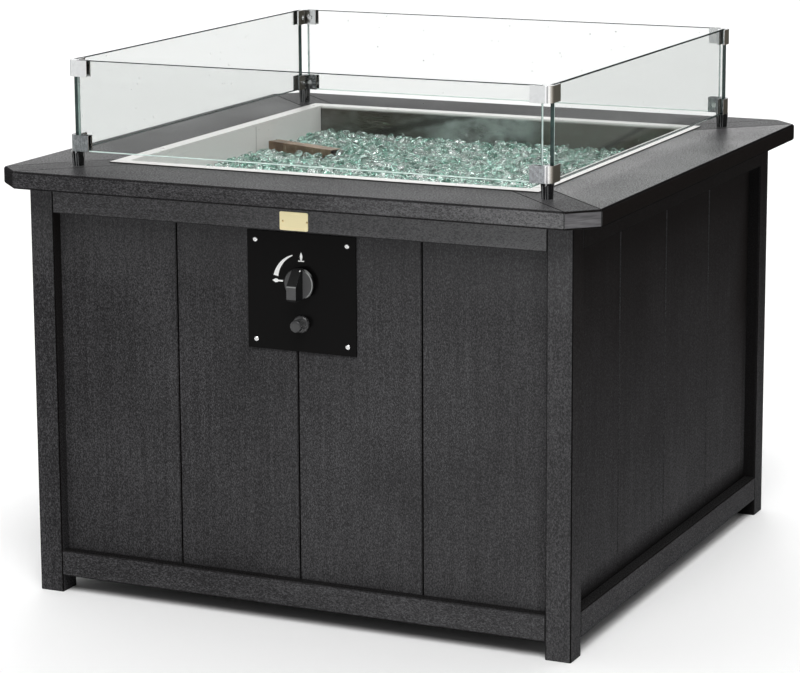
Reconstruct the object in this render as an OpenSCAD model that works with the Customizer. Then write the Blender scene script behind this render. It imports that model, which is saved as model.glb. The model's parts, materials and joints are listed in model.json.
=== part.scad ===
// Square gas fire table: boarded cabinet, drop-in fire pan, valve and igniter,
// rear access door and a lift-off glass wind guard.
// Origin on the ground at the middle of the table, +Z up, the controls face -Y.

/* [Table top] */
// Width and depth of the table top
top_size = 914.4; // [760:0.1:1200]
// Height of the table top above the ground
table_h = 626; // [590:1:800]
// Thickness of the table top boards
top_t = 25.4; // [19:0.1:38]
// Width of the table top boards, from the outer edge to the pan opening
top_board_w = 139.7; // [115:0.1:170]
// Length taken off each corner of the table top, along one edge
corner_cut = 37.5; // [20:0.5:50]
// Gap left at the seams of the table top
seam_gap = 0.6; // [0.2:0.1:2]
// Eased edge along the outside of the table top
top_ease = 2.6; // [1:0.1:5]

/* [Cabinet] */
// Distance that the table top stands out past the cabinet
overhang = 40.2; // [10:0.1:60]
// Side of the square corner posts
post = 38.1; // [32:0.1:60]
// Height of the rails
rail_h = 38.1; // [30:0.1:60]
// Thickness of the rails, which is also how far the boards lie back
rail_t = 19; // [12:0.5:22]
// Ground clearance under the bottom rails
foot_h = 24.9; // [10:0.1:60]
// Thickness of the side boards
board_t = 19.1; // [12:0.1:22]
// Number of boards on each side
board_count = 4; // [3:1:6]
// Depth of the V groove at a board seam
v_groove = 2; // [1:0.1:3]
// Length of a board's tongue
tongue = 6; // [4:0.5:8]
// Play around a tongue in its groove
tongue_play = 0.3; // [0.2:0.1:0.6]
// Gap between two boards
board_seam = 0.4; // [0.2:0.1:1]
// Eased edge of posts, rails and other bars
ease = 1.6; // [0.5:0.1:3]

/* [Shelf] */
// Thickness of the gas bottle shelf and of the runners under it
shelf_t = 19; // [12:0.5:25]
// Number of shelf slats
slat_count = 5; // [3:1:6]
// Gap between the slats
slat_gap = 14.8; // [8:0.1:30]
// Width of a shelf runner
runner_w = 38; // [20:1:60]

/* [Fire pan] */
// Play between the pan and the table top's opening, each side
pan_play = 4; // [2:0.5:8]
// Thickness of the pan's sheet
sheet = 1.5; // [1:0.1:3]
// Width of the pan's lip on the table top past the opening
lip_lap = 15.7; // [8:0.1:18]
// Depth of the pan below its lip
pan_depth = 90; // [80:1:95]
// Radius of the pan's drain holes
drain_r = 4; // [3:0.5:6]
// Depth of the stone bed's top below the lip
bed_drop = 51; // [48:0.5:58]

/* [Burner] */
// Length of the two burner tubes
burner_len = 420; // [200:1:440]
// Distance between the two burner tubes
burner_gap = 300; // [150:1:420]
// Radius of a burner tube
burner_r = 9.5; // [8.5:0.1:10]
// Radius of the cross tube
cross_r = 8; // [6:0.1:8.4]
// Radius of the burner's hub
hub_r = 20; // [18:0.5:25]
// Radius of the stem through the pan's floor
stem_pipe_r = 11; // [9:0.5:14]
// Radius of a flame port
port_r = 1.2; // [0.8:0.1:2]
// Number of flame ports on each tube
port_count = 10; // [4:1:14]

/* [Spark cover] */
// Length of the cover over the igniter
cover_len = 140; // [100:1:160]
// Width of the cover
cover_w = 22; // [21:1:40]
// Height of the cover's top above the pan's floor
cover_h = 58; // [46:1:62]
// Thickness of the cover's sheet
cover_t = 1.2; // [0.8:0.1:2]
// Distance from the pan's left wall to the middle of the cover
cover_from_wall = 75; // [70:1:160]
// Distance of the cover's middle behind the pan's middle
cover_back = 100; // [60:1:180]
// Turn of the cover
cover_turn = -20; // [-30:1:0]

/* [Fire stones] */
// Width of a stone
stone_d = 21; // [16:0.5:24]
// Thickness of a stone
stone_t = 10; // [6:0.5:12]
// Least spacing of the stones
stone_pitch = 28.4; // [26:0.1:40]
// Most rows of stones each way; a wider pan has them further apart
stone_rows = 22; // [10:1:22]

/* [Control plate] */
// Side of the square control plate
plate_size = 167; // [150:1:200]
// Thickness of the control plate
plate_t = 2.5; // [1.5:0.1:4]
// Distance of the plate's middle to the right of the cabinet's
plate_x = 8; // [-60:1:60]
// Gap between the top rail and the plate
plate_drop = 4.2; // [1:0.1:20]
// Distance of the plate's screws from its edges
plate_screw_in = 12.8; // [9:0.1:15]
// Radius of the plate's screw heads
plate_screw_r = 3.7; // [3:0.1:5]

/* [Valve and knob] */
// Distance of the knob's axis below the plate's top
knob_drop = 69.5; // [60:0.5:75]
// Radius of the knob's skirt
knob_r = 22; // [18:0.5:26]
// Distance of the knob's front from the plate
knob_out = 32; // [26:0.5:36]
// Thickness of the knob's skirt
skirt_t = 6.5; // [5:0.1:9]
// Width of the knob's grip bar
grip_w = 14.5; // [10:0.5:18]
// Radius of the valve stem
stem_r = 3; // [2.5:0.1:4]
// Radius of the valve's plug
plug_r = 6.9; // [5.5:0.1:8]
// Travel of the knob when it is pushed in
push_travel = 3; // [2:0.1:3.5]
// Radius of the gas inlet's flare fitting
inlet_r = 7.94; // [6:0.01:9]
// Length of the gas inlet's flare fitting
inlet_len = 16; // [10:0.5:24]

/* [Igniter] */
// Distance of the igniter's axis below the plate's top
igniter_drop = 127.5; // [120:0.5:140]
// Radius of the igniter's barrel
barrel_r = 7.8; // [6.5:0.1:9]
// Radius of the igniter's nut
nut_r = 12; // [10:0.1:15]
// Radius of the button's cap
button_r = 8.5; // [7:0.1:9]
// Radius of the button's plunger
plunger_r = 5.9; // [4.5:0.1:6.3]
// Distance of the button's front from the plate
button_out = 22; // [18:0.5:26]
// Travel of the button
button_travel = 4; // [2:0.1:4.5]

/* [Badge plate] */
// Width of the bare brass plate
badge_w = 43.5; // [30:0.5:60]
// Height of the bare brass plate
badge_h = 26; // [18:0.5:32]
// Thickness of the bare brass plate
badge_t = 1; // [0.6:0.1:2]
// Distance of the brass plate's middle to the right of the cabinet's
badge_x = 6; // [-60:1:60]

/* [Access door] */
// Gap around the door
door_gap = 3; // [2:0.1:5]
// Thickness of the door's battens
batten_t = 19; // [12:0.5:25]
// Height of a door batten
batten_h = 64; // [40:1:90]
// Distance of a batten's ends from the door's edges
batten_in = 35.9; // [34:0.1:80]
// Height of a hinge
hinge_h = 60; // [40:1:90]
// Radius of a hinge knuckle
knuckle_r = 3.2; // [2.8:0.1:4]
// Radius of a hinge pin
hinge_pin_r = 1.8; // [1.2:0.1:2]
// Thickness of a hinge leaf
leaf_t = 1.5; // [1:0.1:2]
// Radius of the door's pull
pull_r = 14; // [10:0.5:20]

/* [Wind guard] */
// Height of the whole guard above the table top
guard_h = 152.4; // [110:0.1:200]
// Distance from the pan's lip to the outside of the guard's brackets
guard_gap = 37.8; // [34:0.1:45]
// Distance that the loose guard stands in front of the table's middle
guard_forward = 10.6; // [0:0.1:12]
// Thickness of the glass
glass_t = 6; // [4:0.5:8]
// Distance from the outside of a corner to the end of a pane
pane_setback = 15; // [12:0.5:18]
// Play of the glass in a bracket, each side
glass_play = 0.3; // [0.2:0.1:0.5]
// Height of a corner bracket
bracket_h = 23.5; // [16:0.5:30]
// Length of a bracket's legs
bracket_leg = 32; // [28:0.5:45]
// Radius round the outside of a bracket's corner
bracket_r = 12; // [8:0.5:14]
// Outer wall of a bracket
bracket_wall = 2; // [1.5:0.1:3]
// Inner wall of a bracket
bracket_inner = 3; // [2:0.1:4]
// Height of a guard foot
guard_foot_h = 21.5; // [15:0.5:30]
// Radius of a foot at its top
foot_top_r = 9.5; // [8:0.1:10]
// Radius of a foot at its bottom
foot_base_r = 8; // [6.5:0.1:9]
// Distance of a foot's axis in from the outside of the guard
foot_in = 9.5; // [9:0.1:10]
// Number of flutes round a foot
flute_count = 8; // [6:1:10]

/* [Hidden] */
$fn = 48;
// Clearances, and an overlap for cuts
run_play = 0.1;
set_play = 0.3;
cut = 1;

// Cabinet, worked out from the table top
body_half = top_size / 2 - overhang;
post_in = body_half - post;
rail_len = 2 * post_in;
rail_top = table_h - top_t;
top_rail_z = rail_top - rail_h;
bottom_rail_top = foot_h + rail_h;
board_face = body_half - rail_t;
board_back = board_face - board_t;
side_half = min(post_in, board_back);
tongue_t = board_t / 3;

// Pan and stones
opening_half = top_size / 2 - top_board_w;
pan_out_half = opening_half - pan_play;
pan_in_half = pan_out_half - sheet;
lip_half = opening_half + lip_lap;
lip_top = table_h + sheet;
floor_top = lip_top - pan_depth + sheet;
bed_top = lip_top - bed_drop;
burner_z = floor_top + burner_r + 3.5;
hub_h = 26;
feed_z = floor_top - sheet - 12;
feed_r = 6;
feed_y = 34;
stem_pipe_low = feed_z - 9;
cover_x = -pan_in_half + cover_from_wall;
cover_y = cover_back;
cover_top = floor_top + cover_h;
electrode_r = 4;
electrode_low = floor_top - 9;

// Controls
plate_back = -board_face;
plate_front = plate_back - plate_t;
plate_top = top_rail_z - plate_drop;
plate_mid_z = plate_top - plate_size / 2;
knob_z = plate_top - knob_drop;
igniter_z = plate_top - igniter_drop;
neck_r = plug_r + 1.3;
neck_front = plate_front - 1.5;
plug_front = plate_back + 12;
plug_len = 18;
block_back = plate_back + 48;
block_half = plug_r + 8.1;
outlet_len = 10;
inlet_y = plate_back + 32;
line_r = 6;
skirt_back = plate_front - push_travel - 1;
skirt_front = skirt_back - skirt_t;
grip_front = plate_front - knob_out;
stem_tip = skirt_front - 9;
stem_end = plug_front + 7;
bush_r = 11;
barrel_front = plate_front - 11.5;
igniter_rear = plate_back + 52;
button_front = plate_front - button_out;
cap_back = barrel_front - button_travel - set_play;
wire_r = 1.5;
bore_end = plate_back + 26;
terminal_len = 6;
plate_screw_len = 13;

// Door
door_half = post_in - door_gap;
door_low = bottom_rail_top + door_gap;
door_high = top_rail_z - door_gap;
hinge_x = post_in - knuckle_r - set_play;
hinge_y = board_face + knuckle_r + set_play;
hinge_zs = [door_low + 0.15 * (door_high - door_low), door_high - 0.15 * (door_high - door_low) - hinge_h];
batten_zs = [door_low + 60, door_high - 60 - batten_h];
batten_half = door_half - batten_in;
strike_z = (door_low + door_high) / 2;
strike_h = 40;

// Wind guard
guard_half = lip_half + guard_gap;
slot_w = glass_t + 2 * glass_play;
bracket_t = bracket_wall + slot_w + bracket_inner;
pane_half = guard_half - pane_setback;
pane_h = guard_h - guard_foot_h;
pane_z = table_h + guard_foot_h;
pane_face = guard_half - bracket_wall - glass_play;
pane_ease = 0.6;
stud_r = 2.5;
stud_h = 14;
clamp_r = 2;
clamp_head_r = 3.6;
clamp_head_t = 2.6;
clamp_socket = 1.5;
clamp_at = bracket_leg - 10.5;

lumber = [0.17, 0.17, 0.18];
steel = [0.8, 0.8, 0.8];
black = [0.06, 0.06, 0.06];
alloy = [0.72, 0.73, 0.75];
brassy = [0.83, 0.72, 0.42];

// Bar with eased long edges, standing on its end
module bar(x, y, z, e = ease) {
    linear_extrude(z)
        polygon([[e, 0], [x - e, 0], [x, e], [x, y - e], [x - e, y], [e, y], [0, y - e], [0, e]]);
}

// The same bar lying along X, with y deep and z high
module bar_x(x, y, z, e = ease) {
    rotate([90, 0, 90])
        bar(y, z, x, e);
}

// Turns a front piece to a side: 0 front, 1 right, 2 back, 3 left
module on_side(side) {
    rotate([0, 0, 90 * side])
        children();
}

// Cylinder from y0 towards +Y
module y_cylinder(r, y0, y1) {
    translate([0, y0, 0])
        rotate([-90, 0, 0])
            cylinder(r = r, h = y1 - y0);
}

// Puts controls on an axis through the plate
module on_plate(z) {
    translate([plate_x, 0, z])
        children();
}

// Repeatable scatter between 0 and 1
function scatter(i, j, k) = abs(sin(i * 127.1 + j * 311.7 + k * 74.7) * 4375.85) % 1;

// Direction from a to b
function toward(a, b) = (b - a) / norm(b - a);

// Point at u between a and b of a smooth curve through four points
function smooth(p, a, b, q, u) =
    0.5 * (2 * a + (b - p) * u + (2 * p - 5 * a + 4 * b - q) * u * u
           + (3 * a - p - 3 * b + q) * u * u * u);

// Route with steps points put in for each stretch
function smooth_route(r, steps) =
    let (n = len(r) - 1)
    concat([for (i = [0 : n - 1], s = [0 : steps - 1])
                smooth(r[max(i - 1, 0)], r[i], r[i + 1], r[min(i + 2, n)], s / steps)],
           [r[n]]);

// Tube swept along a route, one ring of corners for each point of its smooth path;
// the end rings are square to the route's first and last stretch
module swept_tube(route, r, sides, steps) {
    path = smooth_route(route, steps);
    rings = len(path);
    n = len(route) - 1;
    function heading(i) = i == 0 ? toward(route[0], route[1])
        : i == rings - 1 ? toward(route[n - 1], route[n])
        : toward(path[i - 1], path[i + 1]);
    function side_of(d) = let (s = cross(d, abs(d[2]) > 0.9 ? [0, 1, 0] : [0, 0, 1])) s / norm(s);
    points = [for (i = [0 : rings - 1])
                  let (d = heading(i), s = side_of(d), t = cross(d, s))
                  for (k = [0 : sides - 1])
                      path[i] + r * (cos(360 * k / sides) * s + sin(360 * k / sides) * t)];
    walls = [for (i = [0 : rings - 2], k = [0 : sides - 1])
                 let (m = (k + 1) % sides, a = i * sides, b = a + sides)
                 each [[a + k, b + k, b + m], [a + k, b + m, a + m]]];
    ends = [[for (k = [0 : sides - 1]) k],
            [for (k = [sides - 1 : -1 : 0]) (rings - 1) * sides + k]];
    polyhedron(points, concat(walls, ends), convexity = 10);
}

// Corner post, a = -1 left or 1 right, b = -1 front or 1 back
module corner_post(a, b) {
    color(lumber)
    translate([a > 0 ? post_in : -body_half, b > 0 ? post_in : -body_half, 0])
        bar(post, post, rail_top);
}

// Rail along one side with its underside at z
module rail(side, z) {
    color(lumber)
    on_side(side)
        translate([-rail_len / 2, -body_half, z])
            bar_x(rail_len, rail_t, rail_h);
}

// Board outline: V groove, groove and tongue only where it meets another board
module board_outline(w, first, last) {
    low = (board_t - tongue_t) / 2;
    high = low + tongue_t;
    left = first ? [[0, 0]]
        : [[0, high + tongue_play], [tongue + tongue_play, high + tongue_play],
           [tongue + tongue_play, low - tongue_play], [0, low - tongue_play],
           [0, v_groove], [v_groove, 0]];
    end = last ? w : w - board_seam;
    right = last ? [[end, 0]]
        : [[end - v_groove, 0], [end, v_groove], [end, low], [end + tongue, low],
           [end + tongue, high], [end, high]];
    polygon(concat(left, right, [[end, board_t], [0, board_t]]));
}

// Row of boards across one side, from z0 to z1
module board_row(half, z0, z1) {
    w = 2 * half / board_count;
    for (i = [0 : board_count - 1])
        translate([-half + i * w, -board_face, z0])
            linear_extrude(z1 - z0)
                board_outline(w, i == 0, i == board_count - 1);
}

// Left or right boards, between the posts or the front boards, whichever stand further in
module side_boards(side) {
    color(lumber)
    on_side(side)
        board_row(side_half, foot_h, rail_top);
}

// Front boards, open behind the control plate and drilled for its screws
module front_boards() {
    hole_half = 46;
    hole_low = igniter_z - 22;
    hole_high = knob_z + 32;
    color(lumber)
    difference() {
        board_row(post_in, foot_h, rail_top);
        translate([plate_x - hole_half, -board_face - cut, hole_low])
            cube([2 * hole_half, board_t + 2 * cut, hole_high - hole_low]);
        for (p = plate_holes())
            translate([p[0], 0, p[1]])
                y_cylinder(plate_screw_r / 2 + run_play, plate_back - cut, plate_back + plate_screw_len + 1);
    }
}

// Corners of the shelf that posts wider than the side boards take up
module post_notches() {
    if (board_back - post_in > run_play)
        for (a = [-1, 1], b = [-1, 1])
            translate([a > 0 ? post_in : -body_half, b > 0 ? post_in : -body_half, 0])
                cube([post, post, bottom_rail_top + cut]);
}

module shelf_runners() {
    color(lumber)
    difference() {
        for (a = [-1, 1])
            translate([a > 0 ? board_back - runner_w : -board_back, -board_back, foot_h])
                cube([runner_w, 2 * board_back, shelf_t]);
        post_notches();
    }
}

module shelf_slats() {
    slat_w = (2 * board_back - (slat_count - 1) * slat_gap) / slat_count;
    color(lumber)
    difference() {
        for (i = [0 : slat_count - 1])
            translate([-board_back, -board_back + i * (slat_w + slat_gap), foot_h + shelf_t])
                bar_x(2 * board_back, slat_w, shelf_t);
        post_notches();
    }
}

// Cuts an eased edge along the top and bottom of the front edge
module eased_edge(half, y) {
    for (z = [rail_top, table_h])
        translate([-half - cut, y, z])
            rotate([45, 0, 0])
                translate([0, -top_ease / sqrt(2), -top_ease / sqrt(2)])
                    cube([2 * (half + cut), sqrt(2) * top_ease, sqrt(2) * top_ease]);
}

// Long table board on one side; its ends follow the corner boards
module table_board(side) {
    out = top_size / 2;
    run = top_board_w;
    end = out - corner_cut - seam_gap / sqrt(2);
    color(lumber)
    on_side(side)
        difference() {
            translate([0, 0, rail_top])
                linear_extrude(top_t)
                    polygon([[-end, -out], [end, -out], [end - run, -opening_half],
                             [-end + run, -opening_half]]);
            eased_edge(out, -out);
        }
}

// Diagonal board across a corner, notched round the pan's opening
module corner_board(side) {
    out = top_size / 2;
    end = out - corner_cut;
    run = top_board_w;
    face = out - corner_cut / 2;
    color(lumber)
    on_side(side)
        difference() {
            translate([0, 0, rail_top])
                linear_extrude(top_t)
                    polygon([[end, -out], [out, -end], [opening_half, -end + run],
                             [opening_half, -opening_half], [end - run, -opening_half]]);
            translate([face, -face, 0])
                rotate([0, 0, 45])
                    eased_edge(corner_cut, 0);
        }
}

// Folded tub with a flat lip, drained at the corners
module fire_pan() {
    drain_in = 30;
    color(steel)
    difference() {
        union() {
            translate([-lip_half, -lip_half, table_h])
                cube([2 * lip_half, 2 * lip_half, sheet]);
            translate([-pan_out_half, -pan_out_half, floor_top - sheet])
                cube([2 * pan_out_half, 2 * pan_out_half, table_h - floor_top + 2 * sheet]);
        }
        translate([-pan_in_half, -pan_in_half, floor_top])
            cube([2 * pan_in_half, 2 * pan_in_half, pan_depth + cut]);
        translate([0, 0, floor_top - sheet - cut])
            cylinder(r = stem_pipe_r + set_play, h = sheet + 2 * cut);
        translate([cover_x, cover_y, floor_top - sheet - cut])
            cylinder(r = electrode_r + set_play, h = sheet + 2 * cut);
        for (a = [-1, 1], b = [-1, 1])
            translate([a * (pan_in_half - drain_in), b * (pan_in_half - drain_in), floor_top - sheet - cut])
                cylinder(r = drain_r, h = sheet + 2 * cut);
    }
}

// Tubes and hub of the burner; grow makes the room for them in the stones
module burner_shape(grow) {
    translate([0, 0, floor_top])
        cylinder(r = hub_r + grow, h = hub_h + grow);
    translate([-burner_gap / 2, 0, burner_z])
        rotate([0, 90, 0])
            cylinder(r = cross_r + grow, h = burner_gap);
    for (a = [-1, 1])
        translate([a * burner_gap / 2, -burner_len / 2 - grow, burner_z])
            rotate([-90, 0, 0])
                cylinder(r = burner_r + grow, h = burner_len + 2 * grow);
}

// H burner: two drilled tubes, a cross tube, and a hub fed from below the pan
module burner() {
    step = burner_len / port_count;
    color(steel)
    difference() {
        union() {
            burner_shape(0);
            translate([0, 0, stem_pipe_low])
                cylinder(r = stem_pipe_r, h = floor_top - stem_pipe_low + cut);
            translate([0, 0, feed_z])
                y_cylinder(feed_r, -feed_y, 0);
        }
        for (a = [-1, 1], i = [0 : port_count - 1])
            translate([a * burner_gap / 2, -burner_len / 2 + (i + 0.5) * step, burner_z])
                cylinder(r = port_r, h = burner_r + cut);
    }
}

// Folded cover on four legs that keeps the stones off the igniter
module spark_cover() {
    skirt = 24;
    leg = 12;
    color([0.45, 0.33, 0.25])
    translate([cover_x, cover_y, 0])
        rotate([0, 0, cover_turn])
            translate([-cover_len / 2, -cover_w / 2, 0]) {
                translate([0, 0, cover_top - cover_t])
                    cube([cover_len, cover_w, cover_t]);
                for (y = [0, cover_w - cover_t]) {
                    translate([0, y, cover_top - skirt])
                        cube([cover_len, cover_t, skirt]);
                    for (x = [0, cover_len - leg])
                        translate([x, y, floor_top])
                            cube([leg, cover_t, cover_h - skirt + cover_t]);
                }
            }
}

// Space that the cover and the igniter need in the stones
module cover_room(play) {
    translate([cover_x, cover_y, 0])
        rotate([0, 0, cover_turn])
            translate([-cover_len / 2 - play, -cover_w / 2 - play, floor_top - cut])
                cube([cover_len + 2 * play, cover_w + 2 * play, pan_depth]);
}

// Ceramic igniter rod with its collar on the pan's floor and a wire tip
module spark_electrode() {
    rod_h = 30;
    collar_r = 8;
    tip_r = 1.2;
    color("white")
    translate([cover_x, cover_y, 0]) {
        translate([0, 0, electrode_low])
            cylinder(r = electrode_r, h = floor_top + rod_h - electrode_low);
        translate([0, 0, floor_top])
            cylinder(r = collar_r, h = 3);
        translate([0, 0, floor_top + rod_h - cut])
            cylinder(r = tip_r, h = 13 + cut);
    }
}

// Stones under the top layer, as one mass round the burner
module stone_bed() {
    half = pan_in_half - set_play;
    color([0.3, 0.42, 0.38])
    difference() {
        translate([-half, -half, floor_top])
            cube([2 * half, 2 * half, bed_top - floor_top]);
        burner_shape(set_play);
        cover_room(set_play);
    }
}

// How far a point lies outside the cover's outline
function cover_gap(x, y) =
    let (dx = x - cover_x, dy = y - cover_y,
         along = abs(dx * cos(cover_turn) + dy * sin(cover_turn)) - cover_len / 2,
         across = abs(dy * cos(cover_turn) - dx * sin(cover_turn)) - cover_w / 2)
    max(along, across);

// Glass stones of the top layer: faceted lenses that lean and lie on the bed
module fire_stones() {
    sides = 6;
    half = pan_in_half - stone_d / 2 - 2;
    pitch = max(stone_pitch, 2 * half / stone_rows);
    n = floor(2 * half / pitch + 0.001);
    lean = 13;
    crown = 0.28;
    shrink = 0.15;
    places = [for (i = [0 : n], j = [0 : n])
                  let (x = (i - n / 2) * pitch + 2 * scatter(i, j, 1) - 1,
                       y = (j - n / 2) * pitch + 2 * scatter(i, j, 2) - 1)
                  if (cover_gap(x, y) > stone_d / 2 + 1)
                      [x, y, i, j]];
    // Point r out and h up from a stone's middle, at angle t, leaning w degrees towards s
    function leaning(r, h, t, w, s) =
        let (u = r * cos(t - s), v = r * sin(t - s), a = u * cos(w) + h * sin(w))
        [a * cos(s) - v * sin(s), a * sin(s) + v * cos(s), h * cos(w) - u * sin(w)];
    // Points of one stone: the crown's ring, the rim and the tip that it lies on
    function stone(p) =
        let (i = p[2], j = p[3], size = 1 - shrink * scatter(i, j, 3),
             t0 = 60 * scatter(i, j, 4), w = lean * scatter(i, j, 5), s = 360 * scatter(i, j, 6),
             d = stone_d * size, h = stone_t * size / 2, step = 360 / sides,
             loose = concat([for (k = [0 : sides - 1]) leaning(d * crown, h, t0 + step * k, w, s)],
                            [for (k = [0 : sides - 1]) leaning(d / 2, 0, t0 + step * k, w, s)],
                            [leaning(0, -h, 0, w, s)]),
             low = min([for (q = loose) q[2]]))
        [for (q = loose) [p[0] + q[0], p[1] + q[1], bed_top + set_play + q[2] - low]];
    points = [for (p = places) each stone(p)];
    faces = [for (i = [0 : len(places) - 1])
                 let (a = i * (2 * sides + 1), b = a + sides, tip = b + sides)
                 each concat([[for (k = [sides - 1 : -1 : 0]) a + k]],
                             [for (k = [0 : sides - 1])
                                  let (m = (k + 1) % sides)
                                  each [[a + k, a + m, b + m], [a + k, b + m, b + k],
                                        [b + k, b + m, tip]]])];
    color([0.55, 0.72, 0.66])
    polyhedron(points, faces, convexity = 10);
}

// Screw places on the control plate
function plate_holes() =
    let (d = plate_size / 2 - plate_screw_in)
    [for (a = [-1, 1], b = [-1, 1]) [plate_x + a * d, plate_mid_z + b * d]];

module control_plate() {
    color(black)
    difference() {
        translate([plate_x - plate_size / 2, plate_front, plate_mid_z - plate_size / 2])
            cube([plate_size, plate_t, plate_size]);
        for (p = plate_holes())
            translate([p[0], 0, p[1]])
                y_cylinder(plate_screw_r / 2 + set_play, plate_front - cut, plate_back + cut);
        on_plate(knob_z)
            y_cylinder(neck_r + set_play, plate_front - cut, plate_back + cut);
        on_plate(igniter_z)
            y_cylinder(barrel_r + set_play, plate_front - cut, plate_back + cut);
    }
}

// Round-headed screws with a cross recess
module plate_screws() {
    head_t = 2.2;
    slot = 0.9;
    color("silver")
    for (p = plate_holes())
        translate([p[0], 0, p[1]])
            difference() {
                union() {
                    y_cylinder(plate_screw_r / 2, plate_front - cut, plate_back + plate_screw_len);
                    translate([0, plate_front, 0])
                        rotate([90, 0, 0])
                            rotate_extrude()
                                polygon([[0, 0], [plate_screw_r, 0], [plate_screw_r * 0.95, head_t * 0.5],
                                         [plate_screw_r * 0.7, head_t * 0.9], [0, head_t]]);
                }
                for (a = [0, 90])
                    rotate([0, a, 0])
                        translate([-slot / 2, plate_front - head_t - cut, -2])
                            cube([slot, 1 + cut, 4]);
            }
}

// Valve: flange behind the plate, neck through it, plug chamber, and bosses for gas
module valve_body() {
    flange = 3;
    color(brassy)
    on_plate(knob_z)
        difference() {
            union() {
                translate([-22, plate_back, -block_half])
                    cube([44, flange, 2 * block_half]);
                translate([-block_half, plate_back + flange, -block_half])
                    cube([2 * block_half, block_back - plate_back - flange, 2 * block_half]);
                y_cylinder(neck_r, neck_front, plate_back + cut);
                y_cylinder(line_r + 3, block_back - cut, block_back + outlet_len);
            }
            y_cylinder(stem_r + run_play, neck_front - cut, plug_front + cut);
            y_cylinder(plug_r + run_play, plug_front - set_play, plug_front + plug_len + set_play);
        }
}

// Plug that turns in the valve; its socket lets the stem slide as the knob is pushed
module valve_plug() {
    color("goldenrod")
    on_plate(knob_z)
        difference() {
            y_cylinder(plug_r, plug_front, plug_front + plug_len);
            y_cylinder(stem_r + run_play, plug_front - cut, stem_end + push_travel + set_play);
            translate([0, plug_front + plug_len - 3.5, 0])
                cylinder(r = 1.6, h = plug_r + cut);
        }
}

// Stem with the flat that drives the knob
module valve_stem() {
    color("silver")
    on_plate(knob_z)
        difference() {
            y_cylinder(stem_r, stem_tip, stem_end);
            translate([stem_r - 1, stem_tip - cut, -stem_r])
                cube([stem_r, skirt_front - stem_tip + cut, 2 * stem_r]);
        }
}

// Knob: skirt with a chamfered rim, and a bar that falls away to the pointer
module control_knob() {
    rim = 1.2;
    well_r = neck_r + 2;
    well = skirt_back - skirt_t + 2.5;
    tip_out = skirt_front - 2.5;
    color(black)
    on_plate(knob_z)
        difference() {
            union() {
                translate([0, skirt_back, 0])
                    rotate([90, 0, 0])
                        rotate_extrude($fn = 64)
                            polygon([[0, 0], [knob_r - 0.6, 0], [knob_r, 0.6], [knob_r, skirt_t - rim],
                                     [knob_r - rim, skirt_t], [0, skirt_t]]);
                intersection() {
                    rotate([90, 0, 90])
                        translate([0, 0, -grip_w / 2])
                            linear_extrude(grip_w)
                                polygon([[skirt_front + cut, -knob_r], [grip_front + 3, -knob_r],
                                         [grip_front, -knob_r + 4], [grip_front, -1],
                                         [grip_front + 2, 2.5], [tip_out, knob_r],
                                         [skirt_front + cut, knob_r]]);
                    y_cylinder(knob_r - 0.3, grip_front - cut, skirt_front + cut);
                }
            }
            y_cylinder(well_r, well, skirt_back + cut);
            difference() {
                y_cylinder(stem_r + run_play / 2, stem_tip - set_play, skirt_back + cut);
                translate([stem_r - 1 + run_play / 2, stem_tip - cut, -stem_r - cut])
                    cube([stem_r, skirt_front - stem_tip + cut, 2 * (stem_r + cut)]);
            }
        }
}

// Flare fitting that the supply hose screws on, pointing right behind the boards
module gas_inlet() {
    hex_r = 11;
    hex_t = 9;
    color(brassy)
    translate([plate_x + block_half, inlet_y, knob_z])
        rotate([0, 90, 0])
            difference() {
                union() {
                    cylinder(r = hex_r, h = hex_t, $fn = 6);
                    cylinder(r = inlet_r, h = hex_t + inlet_len);
                }
                translate([0, 0, 4])
                    cylinder(r = inlet_r * 0.5, h = hex_t + inlet_len);
            }
}

// Line from the back of the valve to the burner's feed, up and over the gas bottle
module gas_line() {
    start = block_back + outlet_len;
    route = [[plate_x, start, knob_z], [plate_x, start + 8, knob_z],
             [plate_x, start + 26, knob_z + 8], [plate_x, start + 38, (knob_z + feed_z) / 2],
             [plate_x, start + 54, feed_z - 6], [plate_x * 0.8, start + 80, feed_z],
             [0, (start - feed_y) / 2, feed_z], [0, -feed_y - 60, feed_z],
             [0, -feed_y - 10, feed_z], [0, -feed_y, feed_z]];
    color([0.7, 0.7, 0.68])
    swept_tube(route, line_r, 10, 3);
}

// Igniter barrel: bush behind the plate, threaded neck through it, bore for the plunger
module igniter_body() {
    color([0.85, 0.85, 0.83])
    on_plate(igniter_z)
        difference() {
            union() {
                y_cylinder(barrel_r, barrel_front, plate_back + cut);
                y_cylinder(bush_r, plate_back, plate_back + 3);
                y_cylinder(barrel_r + 1, plate_back + 3, igniter_rear);
                y_cylinder(wire_r + 0.5, igniter_rear - cut, igniter_rear + terminal_len);
            }
            y_cylinder(plunger_r + run_play, barrel_front - cut, bore_end);
        }
}

// Ring nut that holds the igniter in the plate
module igniter_nut() {
    t = 5;
    grips = 12;
    color(black)
    on_plate(igniter_z)
        difference() {
            translate([0, plate_front, 0])
                rotate([90, 0, 0])
                    rotate_extrude()
                        polygon([[barrel_r + run_play, 0], [nut_r, 0], [nut_r, t - 1.2], [nut_r - 1.2, t],
                                 [barrel_r + run_play, t]]);
            for (i = [0 : grips - 1])
                rotate([0, 360 / grips * i, 0])
                    translate([nut_r + 0.5, 0, 0])
                        y_cylinder(1.1, plate_front - t - cut, plate_front + cut);
        }
}

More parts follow.
